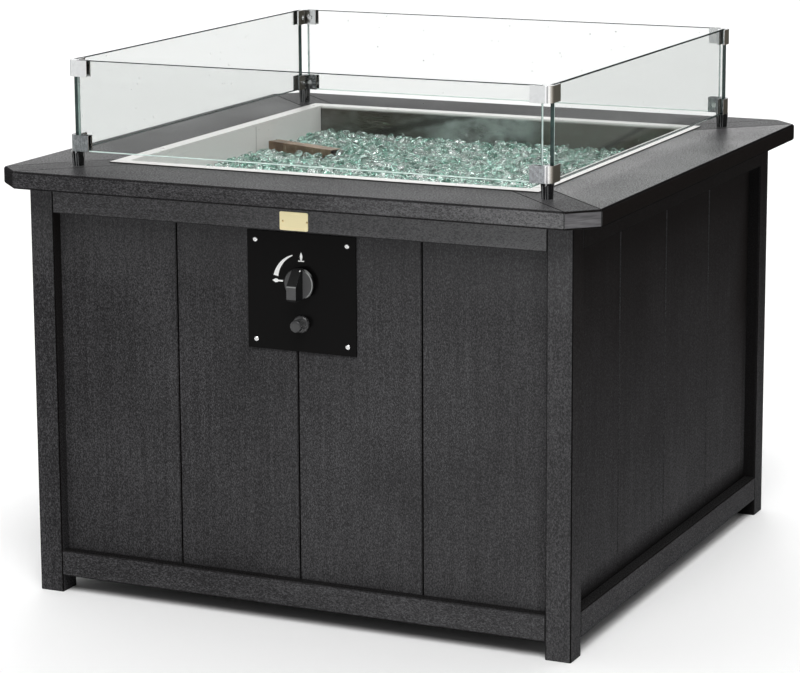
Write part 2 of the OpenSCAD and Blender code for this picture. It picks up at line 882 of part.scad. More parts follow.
// Button: domed cap with a groove, and the plunger that slides in the barrel
module igniter_button() {
    plunger_end = bore_end - button_travel - 1 - button_front;
    color(black)
    on_plate(igniter_z)
        translate([0, button_front, 0])
            rotate([-90, 0, 0])
                rotate_extrude()
                    polygon([[0, 0], [button_r * 0.62, 0.25], [button_r * 0.9, 1.1], [button_r, 2.4],
                             [button_r, cap_back - button_front], [plunger_r, cap_back - button_front],
                             [plunger_r, plunger_end], [0, plunger_end]]);
}

// Lead from the igniter up the inside of the front and under the pan to the electrode
module ignition_wire() {
    start = igniter_rear + terminal_len;
    under = floor_top - sheet - 8;
    route = [[plate_x, start, igniter_z], [plate_x, start + 5, igniter_z],
             [plate_x - 12, start + 12, igniter_z + 8], [plate_x - 50, start + 14, igniter_z + 45],
             [plate_x - 80, start + 16, under - 14], [cover_x / 2 - 10, start + 30, under],
             [cover_x * 0.9, start + 90, under], [cover_x, cover_y / 3 + start / 3, under],
             [cover_x, cover_y - 60, under], [cover_x, cover_y - 12, under - 1],
             [cover_x, cover_y, electrode_low - 3], [cover_x, cover_y, electrode_low]];
    color([0.75, 0.2, 0.15])
    swept_tube(route, wire_r, 8, 4);
}

// Bare brass plate with rounded corners on the top rail
module brass_plate() {
    r = 2.2;
    z = top_rail_z + rail_h * 0.4;
    color(brassy)
    translate([badge_x, -body_half, z])
        rotate([90, 0, 0])
            linear_extrude(badge_t)
                union() {
                    square([badge_w - 2 * r, badge_h], center = true);
                    square([badge_w, badge_h - 2 * r], center = true);
                    for (a = [-1, 1], b = [-1, 1])
                        translate([a * (badge_w / 2 - r), b * (badge_h / 2 - r)])
                            circle(r = r);
                }
}

// Door pieces are drawn as a front and turned to the back
module door_boards() {
    color(lumber)
    on_side(2)
        board_row(door_half, door_low, door_high);
}

module door_battens() {
    color(lumber)
    on_side(2)
        for (z = batten_zs)
            translate([-batten_half, -board_back, z])
                bar_x(2 * batten_half, batten_t, batten_h);
}

// Frame half of the lift-off hinges: leaf on the post, lower knuckle, and the pin
module hinge_frame_leaves() {
    clear = knuckle_r + set_play + 0.2;
    half_h = (hinge_h - set_play) / 2;
    color("silver")
    on_side(2)
        for (z = hinge_zs)
            translate([hinge_x, -hinge_y, z]) {
                translate([knuckle_r + set_play - leaf_t, -body_half + hinge_y + 1, 0])
                    cube([leaf_t, body_half - hinge_y - 1 - clear, hinge_h]);
                translate([knuckle_r + set_play - leaf_t, -clear - cut, 0])
                    cube([leaf_t, clear + cut, half_h]);
                cylinder(r = knuckle_r, h = half_h);
                cylinder(r = hinge_pin_r, h = hinge_h);
            }
}

// Door half: leaf on the door's face and the upper knuckle, bored for the pin
module hinge_door_leaves() {
    clear = knuckle_r + set_play;
    half_h = (hinge_h - set_play) / 2;
    leaf_w = 24;
    color("silver")
    on_side(2)
        for (z = hinge_zs)
            translate([hinge_x, -hinge_y, z])
                difference() {
                    union() {
                        translate([-clear - leaf_w, clear - leaf_t, 0])
                            cube([leaf_w, leaf_t, hinge_h]);
                        translate([-clear - cut, clear - leaf_t, hinge_h - half_h])
                            cube([clear + cut, leaf_t, half_h]);
                        translate([0, 0, hinge_h - half_h])
                            cylinder(r = knuckle_r, h = half_h);
                    }
                    translate([0, 0, hinge_h - half_h - cut])
                        cylinder(r = hinge_pin_r + run_play, h = half_h + 2 * cut);
                }
}

module door_pull() {
    out = 16;
    from_edge = 60;
    color(black)
    on_side(2)
        translate([-door_half + from_edge, -board_face, strike_z])
            rotate([90, 0, 0])
                rotate_extrude()
                    polygon([[0, 0], [9, 0], [9, 1.5], [6, 5], [6, 7], [pull_r - 1, 9.5], [pull_r, 11],
                             [pull_r, 13], [pull_r - 2, 15], [0, out]]);
}

// Steel strip on the door that the magnet holds
module strike_plate() {
    color("silver")
    on_side(2)
        translate([-door_half + 1, -board_back, strike_z - strike_h / 2])
            cube([24, leaf_t, strike_h]);
}

// Magnetic catch on the side boards, or on the post where that stands further in
module magnet_catch() {
    color(black)
    on_side(2)
        translate([-side_half, -board_back + leaf_t + set_play, strike_z - strike_h / 2])
            cube([15, 32, strike_h]);
}

// Pane between two corners
module pane(side) {
    color([0.75, 0.9, 0.85, 0.4])
    translate([0, -guard_forward, pane_z])
        on_side(side)
            translate([-pane_half, -pane_face, 0])
                bar_x(2 * pane_half, glass_t, pane_h, pane_ease);
}

// Bracket outline in its corner: two legs round a solid core, slotted for the glass
module bracket_outline() {
    difference() {
        union() {
            difference() {
                square([bracket_leg, bracket_t]);
                square(bracket_r);
            }
            difference() {
                square([bracket_t, bracket_leg]);
                square(bracket_r);
            }
            translate([bracket_r, bracket_r])
                circle(r = bracket_r);
        }
        translate([pane_setback - glass_play, bracket_wall])
            square([bracket_leg, slot_w]);
        translate([bracket_wall, pane_setback - glass_play])
            square([slot_w, bracket_leg]);
        translate([bracket_t, bracket_t])
            square(bracket_leg);
    }
}

// Puts a corner piece drawn at 0,0 in each of the four corners
module each_corner(z) {
    translate([0, -guard_forward, z])
        for (k = [0 : 3])
            rotate([0, 0, 90 * k])
                translate([-guard_half, -guard_half, 0])
                    children();
}

// Tapped holes for the clamp screws, through the inner wall of both legs
module clamp_holes() {
    for (m = [0, 1])
        mirror([m, -m, 0])
            translate([clamp_at, 0, bracket_h / 2])
                y_cylinder(clamp_r + run_play, bracket_t - bracket_inner - cut, bracket_t + cut);
}

module upper_brackets() {
    color(alloy)
    each_corner(table_h + guard_h - bracket_h)
        difference() {
            linear_extrude(bracket_h)
                bracket_outline();
            clamp_holes();
        }
}

module lower_brackets() {
    color(alloy)
    each_corner(pane_z)
        difference() {
            linear_extrude(bracket_h)
                bracket_outline();
            clamp_holes();
            translate([foot_in, foot_in, -cut])
                cylinder(r = stud_r + run_play, h = stud_h + cut + set_play);
        }
}

// Socket screws that press the glass against the outer wall
module bracket_screws() {
    color("silver")
    for (z = [pane_z, table_h + guard_h - bracket_h])
        each_corner(z)
            for (m = [0, 1])
                mirror([m, -m, 0])
                    translate([clamp_at, 0, bracket_h / 2])
                        difference() {
                            union() {
                                y_cylinder(clamp_r, bracket_t - bracket_inner - glass_play, bracket_t + cut);
                                y_cylinder(clamp_head_r, bracket_t, bracket_t + clamp_head_t);
                            }
                            translate([0, bracket_t + clamp_head_t - clamp_socket, 0])
                                rotate([-90, 0, 0])
                                    cylinder(r = 1.7, h = clamp_socket + cut, $fn = 6);
                        }
}

// Tapered foot with flutes that follow the taper, and the stud into the bracket
module guard_foot() {
    band = 2.5;
    flute_r = 2.1;
    top_r = foot_top_r + flute_r * 0.45;
    base_r = foot_base_r + flute_r * 0.45;
    fall = atan((top_r - base_r) / guard_foot_h);
    difference() {
        union() {
            cylinder(r1 = foot_base_r, r2 = foot_top_r, h = guard_foot_h);
            cylinder(r = stud_r, h = guard_foot_h + stud_h);
        }
        for (i = [0 : flute_count - 1])
            rotate([0, 0, 360 / flute_count * (i + 0.5)])
                translate([base_r, 0, 0])
                    rotate([0, fall, 0])
                        translate([0, 0, -cut])
                            cylinder(r = flute_r, h = guard_foot_h - band + cut, $fn = 24);
    }
}

module guard_feet() {
    color(black)
    each_corner(table_h)
        translate([foot_in, foot_in, 0])
            guard_foot();
}

corner_post(-1, -1);  // post_front_left
corner_post(1, -1);  // post_front_right
corner_post(-1, 1);  // post_back_left
corner_post(1, 1);  // post_back_right
rail(0, top_rail_z);  // top_rail_front
rail(1, top_rail_z);  // top_rail_right
rail(2, top_rail_z);  // top_rail_back
rail(3, top_rail_z);  // top_rail_left
rail(0, foot_h);  // bottom_rail_front
rail(1, foot_h);  // bottom_rail_right
rail(2, foot_h);  // bottom_rail_back
rail(3, foot_h);  // bottom_rail_left
front_boards();
side_boards(1);  // right_boards
side_boards(3);  // left_boards
shelf_runners();
shelf_slats();
table_board(0);  // table_board_front
table_board(1);  // table_board_right
table_board(2);  // table_board_back
table_board(3);  // table_board_left
corner_board(0);  // corner_board_front_right
corner_board(1);  // corner_board_back_right
corner_board(2);  // corner_board_back_left
corner_board(3);  // corner_board_front_left
fire_pan();
burner();
spark_cover();
spark_electrode();
stone_bed();
fire_stones();
control_plate();
plate_screws();
valve_body();
valve_plug();
valve_stem();
control_knob();
gas_inlet();
gas_line();
igniter_body();
igniter_nut();
igniter_button();
ignition_wire();
brass_plate();
door_boards();
door_battens();
hinge_frame_leaves();
hinge_door_leaves();
door_pull();
strike_plate();
magnet_catch();
pane(0);  // glass_front
pane(1);  // glass_right
pane(2);  // glass_back
pane(3);  // glass_left
upper_brackets();
lower_brackets();
bracket_screws();
guard_feet();
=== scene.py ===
import json
import random
from math import ceil, cos, hypot, pi, radians, sin, sqrt

import bmesh
import bpy
from mathutils import Euler, Matrix, Vector, noise


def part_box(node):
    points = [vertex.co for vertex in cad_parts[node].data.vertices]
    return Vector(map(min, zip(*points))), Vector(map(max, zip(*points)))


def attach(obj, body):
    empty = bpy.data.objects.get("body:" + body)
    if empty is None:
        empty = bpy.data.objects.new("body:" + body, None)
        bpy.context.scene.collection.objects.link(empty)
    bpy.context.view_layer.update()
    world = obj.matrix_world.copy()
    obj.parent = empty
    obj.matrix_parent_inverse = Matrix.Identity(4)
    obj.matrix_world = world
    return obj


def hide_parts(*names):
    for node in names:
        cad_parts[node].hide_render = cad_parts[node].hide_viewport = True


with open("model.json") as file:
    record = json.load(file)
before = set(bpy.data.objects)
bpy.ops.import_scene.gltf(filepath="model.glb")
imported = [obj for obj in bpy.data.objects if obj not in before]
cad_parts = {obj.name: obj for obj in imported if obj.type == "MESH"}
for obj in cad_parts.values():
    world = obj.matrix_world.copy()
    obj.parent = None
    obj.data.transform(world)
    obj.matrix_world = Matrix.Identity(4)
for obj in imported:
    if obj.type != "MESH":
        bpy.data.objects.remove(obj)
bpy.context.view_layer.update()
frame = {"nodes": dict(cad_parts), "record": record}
scene = bpy.context.scene
bodyOf = {node: body for body, nodes in frame["record"]["behaviour"]["bodies"].items() for node in nodes}
mm = 0.001

# camera where the photograph was taken from, in metres and degrees
cameraSetup = {"place": (1.7921, -3.9331, 1.2838), "yaw": 24.823, "pitch": 11.160, "roll": -0.274,
               "lens": 131.48, "shiftY": -0.0806}

# pale room, brighter behind the table, with one broad light high over its front
studio = {"floorColour": (0.81, 0.81, 0.81), "floorSize": 40, "floorClouds": 0.8, "floorDim": 0.985,
          "dim": 0.22, "bright": 1.15, "fade": (-0.4, 0.9), "brightTowards": (-0.55, 0.80, 0.25),
          "lamps": ((-0.35, 0.72, 0.60), (0.45, 0.62, 0.64), (0.25, -0.35, 0.90)),
          "lampBright": 10, "lampEdge": (0.9955, 0.9975),
          "sunFrom": (0.22, -0.52, 0.82), "sunStrength": 2.6, "sunAngle": 38}


def addCamera():
    data = bpy.data.cameras.new("camera")
    data.sensor_width = 36
    data.lens = cameraSetup["lens"]
    data.shift_y = cameraSetup["shiftY"]
    data.clip_end = 100
    camera = bpy.data.objects.new("camera", data)
    scene.collection.objects.link(camera)
    turn = (Matrix.Rotation(radians(cameraSetup["yaw"]), 4, "Z")
            @ Matrix.Rotation(pi / 2 - radians(cameraSetup["pitch"]), 4, "X")
            @ Matrix.Rotation(radians(cameraSetup["roll"]), 4, "Z"))
    camera.matrix_world = Matrix.Translation(cameraSetup["place"]) @ turn
    scene.camera = camera


class Value:
    # a socket that takes part in maths
    def __init__(self, finish, socket):
        self.finish, self.socket = finish, socket

    def maths(self, operation, *others):
        return self.finish.node("ShaderNodeMath", {"operation": operation}, dict(enumerate(others)))

    def __add__(self, other):
        return self.maths("ADD", self, other)

    def __radd__(self, other):
        return self.maths("ADD", other, self)

    def __sub__(self, other):
        return self.maths("SUBTRACT", self, other)

    def __rsub__(self, other):
        return self.maths("SUBTRACT", other, self)

    def __mul__(self, other):
        return self.maths("MULTIPLY", self, other)

    def __rmul__(self, other):
        return self.maths("MULTIPLY", other, self)

    def __pow__(self, other):
        return self.maths("POWER", self, other)

    def size(self):
        return self.maths("ABSOLUTE", self)

    def larger(self, other):
        return self.maths("MAXIMUM", self, other)


class Finish:
    # a material, or the world, under construction
    def __init__(self, name, tree=None):
        self.material = None if tree else bpy.data.materials.new(name)
        if self.material:
            self.material.use_nodes = True
        self.tree = tree or self.material.node_tree
        self.tree.nodes.clear()
        self.place = self.node("ShaderNodeTexCoord", {}, {}, "Object")

    def node(self, kind, settings, values, output=0):
        made = self.tree.nodes.new(kind)
        for key, value in settings.items():
            if key == "stops":
                ramp = made.color_ramp
                while len(ramp.elements) < len(value):
                    ramp.elements.new(0.5)
                for element, (position, colour) in zip(ramp.elements, value):
                    element.position, element.color = position, (*colour, 1)
            else:
                setattr(made, key, value)
        for key, value in values.items():
            if isinstance(value, Value):
                self.tree.links.new(value.socket, made.inputs[key])
            else:
                made.inputs[key].default_value = value
        return Value(self, made.outputs[output])

    def stretched(self, x, y, z):
        return self.node("ShaderNodeMapping", {}, {"Vector": self.place, "Scale": (x, y, z)})

    def along(self, axis, share):
        scale = [1, 1, 1]
        scale["XYZ".index(axis)] = share
        return self.stretched(*scale)

    def axis(self, name, vector=None):
        return self.node("ShaderNodeSeparateXYZ", {}, {"Vector": vector or self.place}, name)

    def facing(self, name):
        # how the surface faces along an axis of the object
        return self.axis(name, self.node("ShaderNodeTexCoord", {}, {}, "Normal"))

    def noise(self, where, scale, detail=2.0, roughness=0.5):
        return self.node("ShaderNodeTexNoise", {}, {"Vector": where, "Scale": scale, "Detail": detail,
                                                    "Roughness": roughness}, "Fac")

    def ramp(self, value, *stops):
        return self.node("ShaderNodeValToRGB", {"stops": stops}, {"Fac": value}, "Color")

    def remap(self, value, low, high, newLow, newHigh):
        # the look dictionaries hold these four numbers for each mask, with lengths in metres
        return self.node("ShaderNodeMapRange", {}, {"Value": value, "From Min": low, "From Max": high,
                                                    "To Min": newLow, "To Max": newHigh})

    def mixed(self, factor, first, second):
        made = self.node("ShaderNodeMix", {"data_type": "RGBA"}, {0: factor}, 2)
        for index, colour in ((6, first), (7, second)):
            socket = made.socket.node.inputs[index]
            if isinstance(colour, Value):
                self.tree.links.new(colour.socket, socket)
            else:
                socket.default_value = (*colour, 1)
        return made

    def bump(self, height, strength, distance):
        return self.node("ShaderNodeBump", {}, {"Height": height, "Strength": strength, "Distance": distance})

    def principled(self, **values):
        names = {"colour": "Base Color", "metallic": "Metallic", "roughness": "Roughness", "normal": "Normal",
                 "ior": "IOR", "specular": "Specular IOR Level", "coat": "Coat Weight",
                 "coatRoughness": "Coat Roughness", "transmission": "Transmission Weight",
                 "emission": "Emission Color", "glow": "Emission Strength"}
        filled = {}
        for key, value in values.items():
            filled[names[key]] = (*value, 1) if key == "colour" and not isinstance(value, Value) else value
        return self.node("ShaderNodeBsdfPrincipled", {}, filled)

    def done(self, surface, kind="ShaderNodeOutputMaterial"):
        output = self.tree.nodes.new(kind)
        self.tree.links.new(surface.socket, output.inputs["Surface"])
        return self.material


def shaded(colour, factor):
    return tuple(min(c * factor, 1) for c in colour)


# charcoal lumber: an embossed speckle on the faces, drawn streaks and a painted highlight on the sawn
# diagonal edges, a sheen on faces that look up, painted light towards the front right corner, and painted
# shade on the right side, in nooks and grooves
lumberLook = {
    "dark": (0.0115, 0.0112, 0.0116), "mid": (0.029, 0.0284, 0.0296), "light": (0.095, 0.094, 0.098),
    "shade": (0.0075, 0.0062, 0.0056), "paintedLightTone": (0.145, 0.145, 0.148), "deepest": 0.3,
    "toneStops": ((0.37, "dark"), (0.49, "mid"), (0.64, "light")),
    "speckle": 620, "fine": 1500, "streak": 210, "clouds": 6, "grain": 0.6, "drawn": 0.03,
    "sheen": {"X": 0.40, "Y": 0.55, "Z": 0.0, "rubbed": 1.0, "boards": 0.0, "rail": 0.0},
    # lighter and darker copies of each piece's tones: painted light on the top rails under the table top,
    # painted shade on posts and boards
    "lift": {"X": 1.0, "Y": 1.0, "Z": 0.90, "rubbed": 1.0, "boards": 0.95, "rail": 1.5},
    "roughness": (0.35, 0.65, 0.42, 0.56), "coatRoughness": 0.36, "sheenSpread": (0.35, 1.45),
    "relief": 0.55, "reliefDepth": 0.0006,
    # the table top, its sawn corners (those facing front right or back left take a painted highlight), level
    # faces and faces square to the front
    "top": (0.600, 0.602, 0, 1), "sawnTurn": (0.40, 0.48, 0, 1), "sawnHighlightStops": ((0.35, 2.52), (0.65, 4.68)),
    "sawnGrain": (14, 26), "level": (0.9, 1.0, 0, 1), "square": (0.8, 0.95, 0, 1),
    # painted light across the front towards the right, under the top, and along the front edges of rail and
    # top
    "paintedLightAcross": (-0.35, 0.45, 0, 0.11), "paintedLightUnderTop": (0.46, 0.575, 0, 0.16),
    "topEdge": (0.0, 0.40, 0, 0.8), "railEdge": (-0.25, 0.35, 0, 0.8), "edgeTone": (0.40, 0.60, 0.2, 1.3),
    # painted shade on faces to the right, deeper towards the top and near the back
    "rightTurn": (0.85, 0.98, 0, 1), "sideShade": (0.05, 0.54, 0.05, 0.88), "topShade": 0.95,
    "backShade": (0.18, 0.40, 0.2, 1), "backShadeUp": (0.10, 0.35, 0.3, 1),
    # painted shade, nearly black, in nooks: on the bottom rails, beside the back right post and on the boards
    # near them
    "side": (0.37, 0.38, 0, 0.85), "ledge": (0.10, 0.12, 0.85, 0), "postBack": (0.30, 0.32, 0, 1),
    "boardFoot": (0.063, 0.095, 1, 0), "boardEnd": (0.375, 0.415, 0, 1),
    # painted shade as dark lines along rounded edges and in the grooves between the boards
    "slope": (0.90, 0.985, 0.6, 0), "slopeRight": (0.1, 0.6), "slopeGain": {"boards": 0.6, "others": 1.5},
    "groove": (0.0010, 0.0015, 0, 1), "boardBack": (0.0048, 0.0060, 1, 0)}


def polyLumber(key, axis):
    look, lift, sheen = lumberLook, lumberLook["lift"][key], lumberLook["sheen"][key]
    isRail, isBoards = key == "rail", key == "boards"
    finish = Finish("polyLumber" + key.capitalize())
    across, back, up = (finish.axis(name) for name in "XYZ")
    right, front, over = finish.facing("X"), finish.facing("Y") * -1, finish.facing("Z")
    grain = finish.along(axis, look["grain"])
    speckle = finish.noise(grain, look["speckle"], 3, 0.7)
    fine = finish.noise(grain, look["fine"], 2, 0.6)
    cloud = finish.noise(finish.place, look["clouds"], 2, 0.5)
    streak = finish.noise(finish.along(axis, look["drawn"]), look["streak"], 2, 0.5)
    tone = speckle * 0.62 + fine * 0.30 + streak * 0.08 + (cloud - 0.5) * 0.10
    top = finish.remap(up, *look["top"])
    sawn = finish.remap(right * front, *look["sawnTurn"]) * top
    level = finish.remap(over, *look["level"])
    square = finish.remap(front, *look["square"])

    speckled = finish.ramp(tone, *((stop, shaded(look[shade], lift)) for stop, shade in look["toneStops"]))
    # painted highlight, with drawn streaks, on the sawn corners that face front right or back left
    stretch, size = look["sawnGrain"]
    sawnHighlight = finish.ramp(finish.noise(finish.stretched(1, 1, stretch), size, 3, 0.6),
                         *((stop, shaded(look["mid"], gain)) for stop, gain in look["sawnHighlightStops"]))
    # painted light: lighter towards the right, under the table top and along the front edges
    paintedLight = finish.remap(across, *look["paintedLightAcross"]) + finish.remap(up, *look["paintedLightUnderTop"]) * (1 - top)
    edge = finish.remap(across, *look["railEdge" if isRail else "topEdge"]) * square
    if not isRail:
        edge = edge * top
    speckleAndPaintedLight = finish.mixed(paintedLight + edge * finish.remap(tone, *look["edgeTone"]), speckled, look["paintedLightTone"])

    # painted shade on faces to the right, more towards the top and near the back, and nearly black in the
    # nooks
    shade = finish.remap(up, *look["sideShade"]).larger(top * look["topShade"])
    side = finish.remap(across, *look["side"]) * (1 - top)
    if isBoards:
        shade = shade.larger(finish.remap(back, *look["backShade"]) * finish.remap(up, *look["backShadeUp"]))
        nook = finish.remap(up, *look["boardFoot"]).larger(finish.remap(back, *look["boardEnd"])) * side
    else:
        ledge = finish.remap(over, *look["square"]) * finish.remap(up, *look["ledge"])
        nook = ledge.larger(square * finish.remap(back, *look["postBack"]) * side)
    shade = shade * finish.remap(right, *look["rightTurn"])
    colour = finish.mixed(shade, finish.mixed(sawn, speckleAndPaintedLight, sawnHighlight), look["shade"])

    # painted shade along rounded edges and in the grooves between the boards
    straight = right.size().larger(front.size()).larger(over.size())
    lit = finish.remap(right, *look["slopeRight"], 1, look["slopeGain"]["boards" if isBoards else "others"])
    gap = finish.remap(straight, *look["slope"]) * (1 - sawn) * lit
    if isBoards:
        deep = -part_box("front_boards")[0].y - across.size().larger(back.size())
        gap = gap.larger(finish.remap(deep, *look["groove"]) * finish.remap(deep, *look["boardBack"]))
    colour = finish.mixed(gap.larger(nook), colour, shaded(look["shade"], look["deepest"]))

    roughness = finish.remap(fine * 0.6 + speckle * 0.4, *look["roughness"])
    coat = level * finish.remap(speckle * 0.85 + cloud * 0.15, 0.40, 0.60,
                                *(sheen * spread for spread in look["sheenSpread"]))
    height = (speckle * 0.65 + fine * 0.35) * (1 - sawn * 0.85) * (1 - level * 0.35)
    return finish.done(finish.principled(
        colour=colour, roughness=roughness, specular=0.0, coat=coat, coatRoughness=look["coatRoughness"],
        normal=finish.bump(height, look["relief"], look["reliefDepth"])))


# metals: drawn streaks along one axis and a slow change of tone
brushLook = {"drawn": 0.02, "streak": 1500, "clouds": 14, "dim": 0.84, "depth": 0.0002}


def brushedMetal(name, colour, roughness, axis="X", spread=0.06, metallic=1.0, relief=0.12):
    finish = Finish(name)
    brush = finish.noise(finish.along(axis, brushLook["drawn"]), brushLook["streak"], 2, 0.6)
    cloud = finish.noise(finish.place, brushLook["clouds"], 3, 0.55)
    shade = finish.mixed(cloud * 0.5 + brush * 0.5, shaded(colour, brushLook["dim"]), colour)
    rough = finish.remap(brush * 0.6 + cloud * 0.4, 0.3, 0.7, roughness - spread, roughness + spread)
    return finish.done(finish.principled(colour=shade, metallic=metallic, roughness=rough,
                                         normal=finish.bump(brush, relief, brushLook["depth"])))


# bracket metal with a painted reflection round the corner, from front to right: pale wall, a dark strip, a
# lamp and shade;
# painted shade on faces to the left, and the lower brackets a darker copy, darker still on the left side
alloyLook = {"upper": (0.66, 0.67, 0.675), "lower": (0.36, 0.375, 0.39), "left": (0.085, 0.105, 0.100),
             "turn": ((0.24, (0.92, 0.92, 0.93)), (0.42, (0.26, 0.26, 0.27)), (0.58, (0.98, 0.97, 0.95)),
                      (0.80, (0.36, 0.33, 0.29)), (0.95, (0.085, 0.078, 0.064))),
             "farSide": {"upper": 1.0, "lower": 0.50}, "farPlace": (-0.1, 0.1, 1, 0), "farDim": 0.6,
             "brush": 900, "drawn": 0.05, "mottle": 170, "mottling": (0.38, 0.62, 0, 1), "depth": 0.0003,
             "cornerTurn": (0.14, 0.24, 0, 1), "leftTurn": (0.45, 0.75, 0, 0.9),
             "rightTurn": (0.86, 0.96, 1, 0)}


def castAlloy(name, place, roughness, mottle):
    look, colour = alloyLook, alloyLook[place]
    finish = Finish(name)
    brush = finish.noise(finish.along("Z", look["drawn"]), look["brush"], 2, 0.6)
    cloud = finish.noise(finish.place, look["mottle"], 3, 0.65)
    grain = finish.remap(cloud * 0.7 + brush * 0.3, *look["mottling"])
    across = finish.facing("X")
    shade = finish.mixed(grain, shaded(colour, 1 - mottle), shaded(colour, 1 + mottle * 0.4))
    # painted shade: a darker copy on the left side, for the lower brackets
    far = finish.remap(finish.axis("X"), *look["farPlace"]) * (1 - look["farSide"][place])
    shade = finish.mixed(far, shade, shaded(look["left"], look["farDim"]))
    # painted reflection that turns with the face from front to right, ending in painted shade on faces to the
    # right
    paintedMirror = finish.ramp(across, *look["turn"])
    shade = finish.mixed(finish.remap(across, *look["cornerTurn"]), shade, paintedMirror)
    # painted shade on faces to the left
    shade = finish.mixed(finish.remap(across * -1, *look["leftTurn"]), shade, look["left"])
    rough = finish.remap(brush * 0.5 + cloud * 0.5, 0.35, 0.65, roughness - 0.05, roughness + 0.08)
    metallic = finish.remap(across, *look["rightTurn"])
    return finish.done(finish.principled(colour=shade, metallic=metallic, roughness=rough, specular=0.0,
                                         normal=finish.bump(cloud, mottle * 0.4, look["depth"])))


# bright sheet; the wall behind the flames carries a painted reflection in olive clouds, with two dark sweeps
# and a pale veil
panLook = {"clean": (1.0, 0.985, 0.96), "olive": (0.085, 0.078, 0.062), "grey": (0.185, 0.185, 0.168),
           "haze": (0.30, 0.325, 0.315), "veil": (0.62, 0.66, 0.65), "brown": (0.20, 0.183, 0.143),
           "wallReflectionStops": ((0.40, "olive"), (0.52, "grey"), (0.68, "haze")), "drawnDim": 0.93,
           "clouds": 7.5, "cloudStretch": 2.0, "hazeClouds": 21, "hazeStretch": 1.4,
           "drawn": 0.03, "brush": 1300, "depth": 0.0002,
           "belowLip": (0.622, 0.6262, 1, 0), "backWall": (0.3095, 0.3115, 0, 1),
           "sweeps": ((0.23, 0.637), (0.60, 0.476)), "sweepWave": 0.01, "sweepWidth": (0.002, 0.009, 1, 0),
           "sweepDark": 0.75, "sweepDim": 0.45, "veilMiddle": -0.024, "veilReach": (0.060, 0.105, 1, 0),
           "veilClouds": (0.36, 0.62, 0.15, 1), "brownPlace": (0.06, 0.10, 0, 0.6),
           "lipTurn": (0.8, 0.95, 0, 1), "lipDim": 0.66, "cutEdge": (0.3328, 0.3332, 0, 1), "cutDim": 0.25,
           "seamPlace": 0.082, "seamWidth": (0.0005, 0.0013, 0.8, 0), "seamWall": (-0.304, -0.300, 1, 0),
           "seamDim": 0.35, "roughness": (0.3, 0.7, 0.24, 0.40), "metallic": (0, 1, 0.04, 0.95)}


def panSheet(name):
    look, finish = panLook, Finish(name)
    x, y, z = (finish.axis(axis) for axis in "XYZ")
    below = finish.remap(z, *look["belowLip"])
    behind = finish.remap(y, *look["backWall"]) * below
    cloud = finish.noise(finish.stretched(1, 1, look["cloudStretch"]), look["clouds"], 4, 0.62)
    haze = finish.noise(finish.stretched(1, 1, look["hazeStretch"]), look["hazeClouds"], 3, 0.6)
    brush = finish.noise(finish.stretched(look["drawn"], look["drawn"], 1), look["brush"], 2, 0.5)

    # painted reflection on the wall behind the flames: olive clouds, a pale veil, a brown part to the right
    # and two dark sweeps
    paintedWallReflection = finish.ramp(cloud * 0.7 + haze * 0.3, *((stop, look[shade]) for stop, shade in look["wallReflectionStops"]))
    veil = finish.remap((x - look["veilMiddle"]).size(), *look["veilReach"])
    veil = veil * finish.remap(haze * 0.6 + cloud * 0.4, *look["veilClouds"])
    paintedWallReflection = finish.mixed(veil, paintedWallReflection, look["veil"])
    paintedWallReflection = finish.mixed(finish.remap(x, *look["brownPlace"]), paintedWallReflection, look["brown"])
    wave = (haze - 0.5) * look["sweepWave"]
    first, second = (finish.remap((x * climb - z + low).size() + wave, *look["sweepWidth"])
                     for climb, low in look["sweeps"])
    sweep = first.larger(second) * look["sweepDark"]
    paintedWallReflection = finish.mixed(sweep, paintedWallReflection, shaded(look["olive"], look["sweepDim"]))

    clean = finish.mixed(brush, shaded(look["clean"], look["drawnDim"]), look["clean"])
    # painted shade: the lip's upper face is a darker copy of the sheet
    lip = finish.remap(finish.facing("Z"), *look["lipTurn"]) * (1 - below)
    clean = finish.mixed(lip, clean, shaded(look["clean"], look["lipDim"]))
    seam = finish.remap((y - look["seamPlace"]).size(), *look["seamWidth"]) * below
    seam = seam * finish.remap(x, *look["seamWall"])
    clean = finish.mixed(seam, clean, shaded(look["clean"], look["seamDim"]))
    # painted shadow: a dark line along the cut edge of the lip
    cutEdge = finish.remap(x.size().larger(y.size()), *look["cutEdge"])
    colour = finish.mixed(cutEdge, finish.mixed(behind, clean, paintedWallReflection), shaded(look["olive"], look["cutDim"]))
    rough = finish.remap(brush * 0.5 + cloud * 0.5, *look["roughness"])
    metallic = finish.remap(behind, *look["metallic"])
    return finish.done(finish.principled(colour=colour, metallic=metallic, roughness=rough,
                                         normal=finish.bump(brush, 0.10, look["depth"])))


# sheet that stands in the flames: straw and brown, with streaks of pale scale
coverLook = {"stain": 34, "scale": 190, "drawn": 0.35, "metallic": 0.85, "roughness": (0.3, 0.7, 0.28, 0.55),
             "stops": ((0.34, (0.060, 0.036, 0.024)), (0.47, (0.19, 0.12, 0.075)),
                       (0.60, (0.34, 0.24, 0.16)), (0.72, (0.62, 0.56, 0.48)))}


def tintedSheet(name):
    finish = Finish(name)
    stain = finish.noise(finish.place, coverLook["stain"], 4, 0.6)
    scale = finish.noise(finish.stretched(1, 1, coverLook["drawn"]), coverLook["scale"], 3, 0.65)
    colour = finish.ramp(stain * 0.75 + scale * 0.25, *coverLook["stops"])
    rough = finish.remap(scale, *coverLook["roughness"])
    return finish.done(finish.principled(colour=colour, metallic=coverLook["metallic"], roughness=rough,
                                         normal=finish.bump(scale, 0.25, 0.0004)))


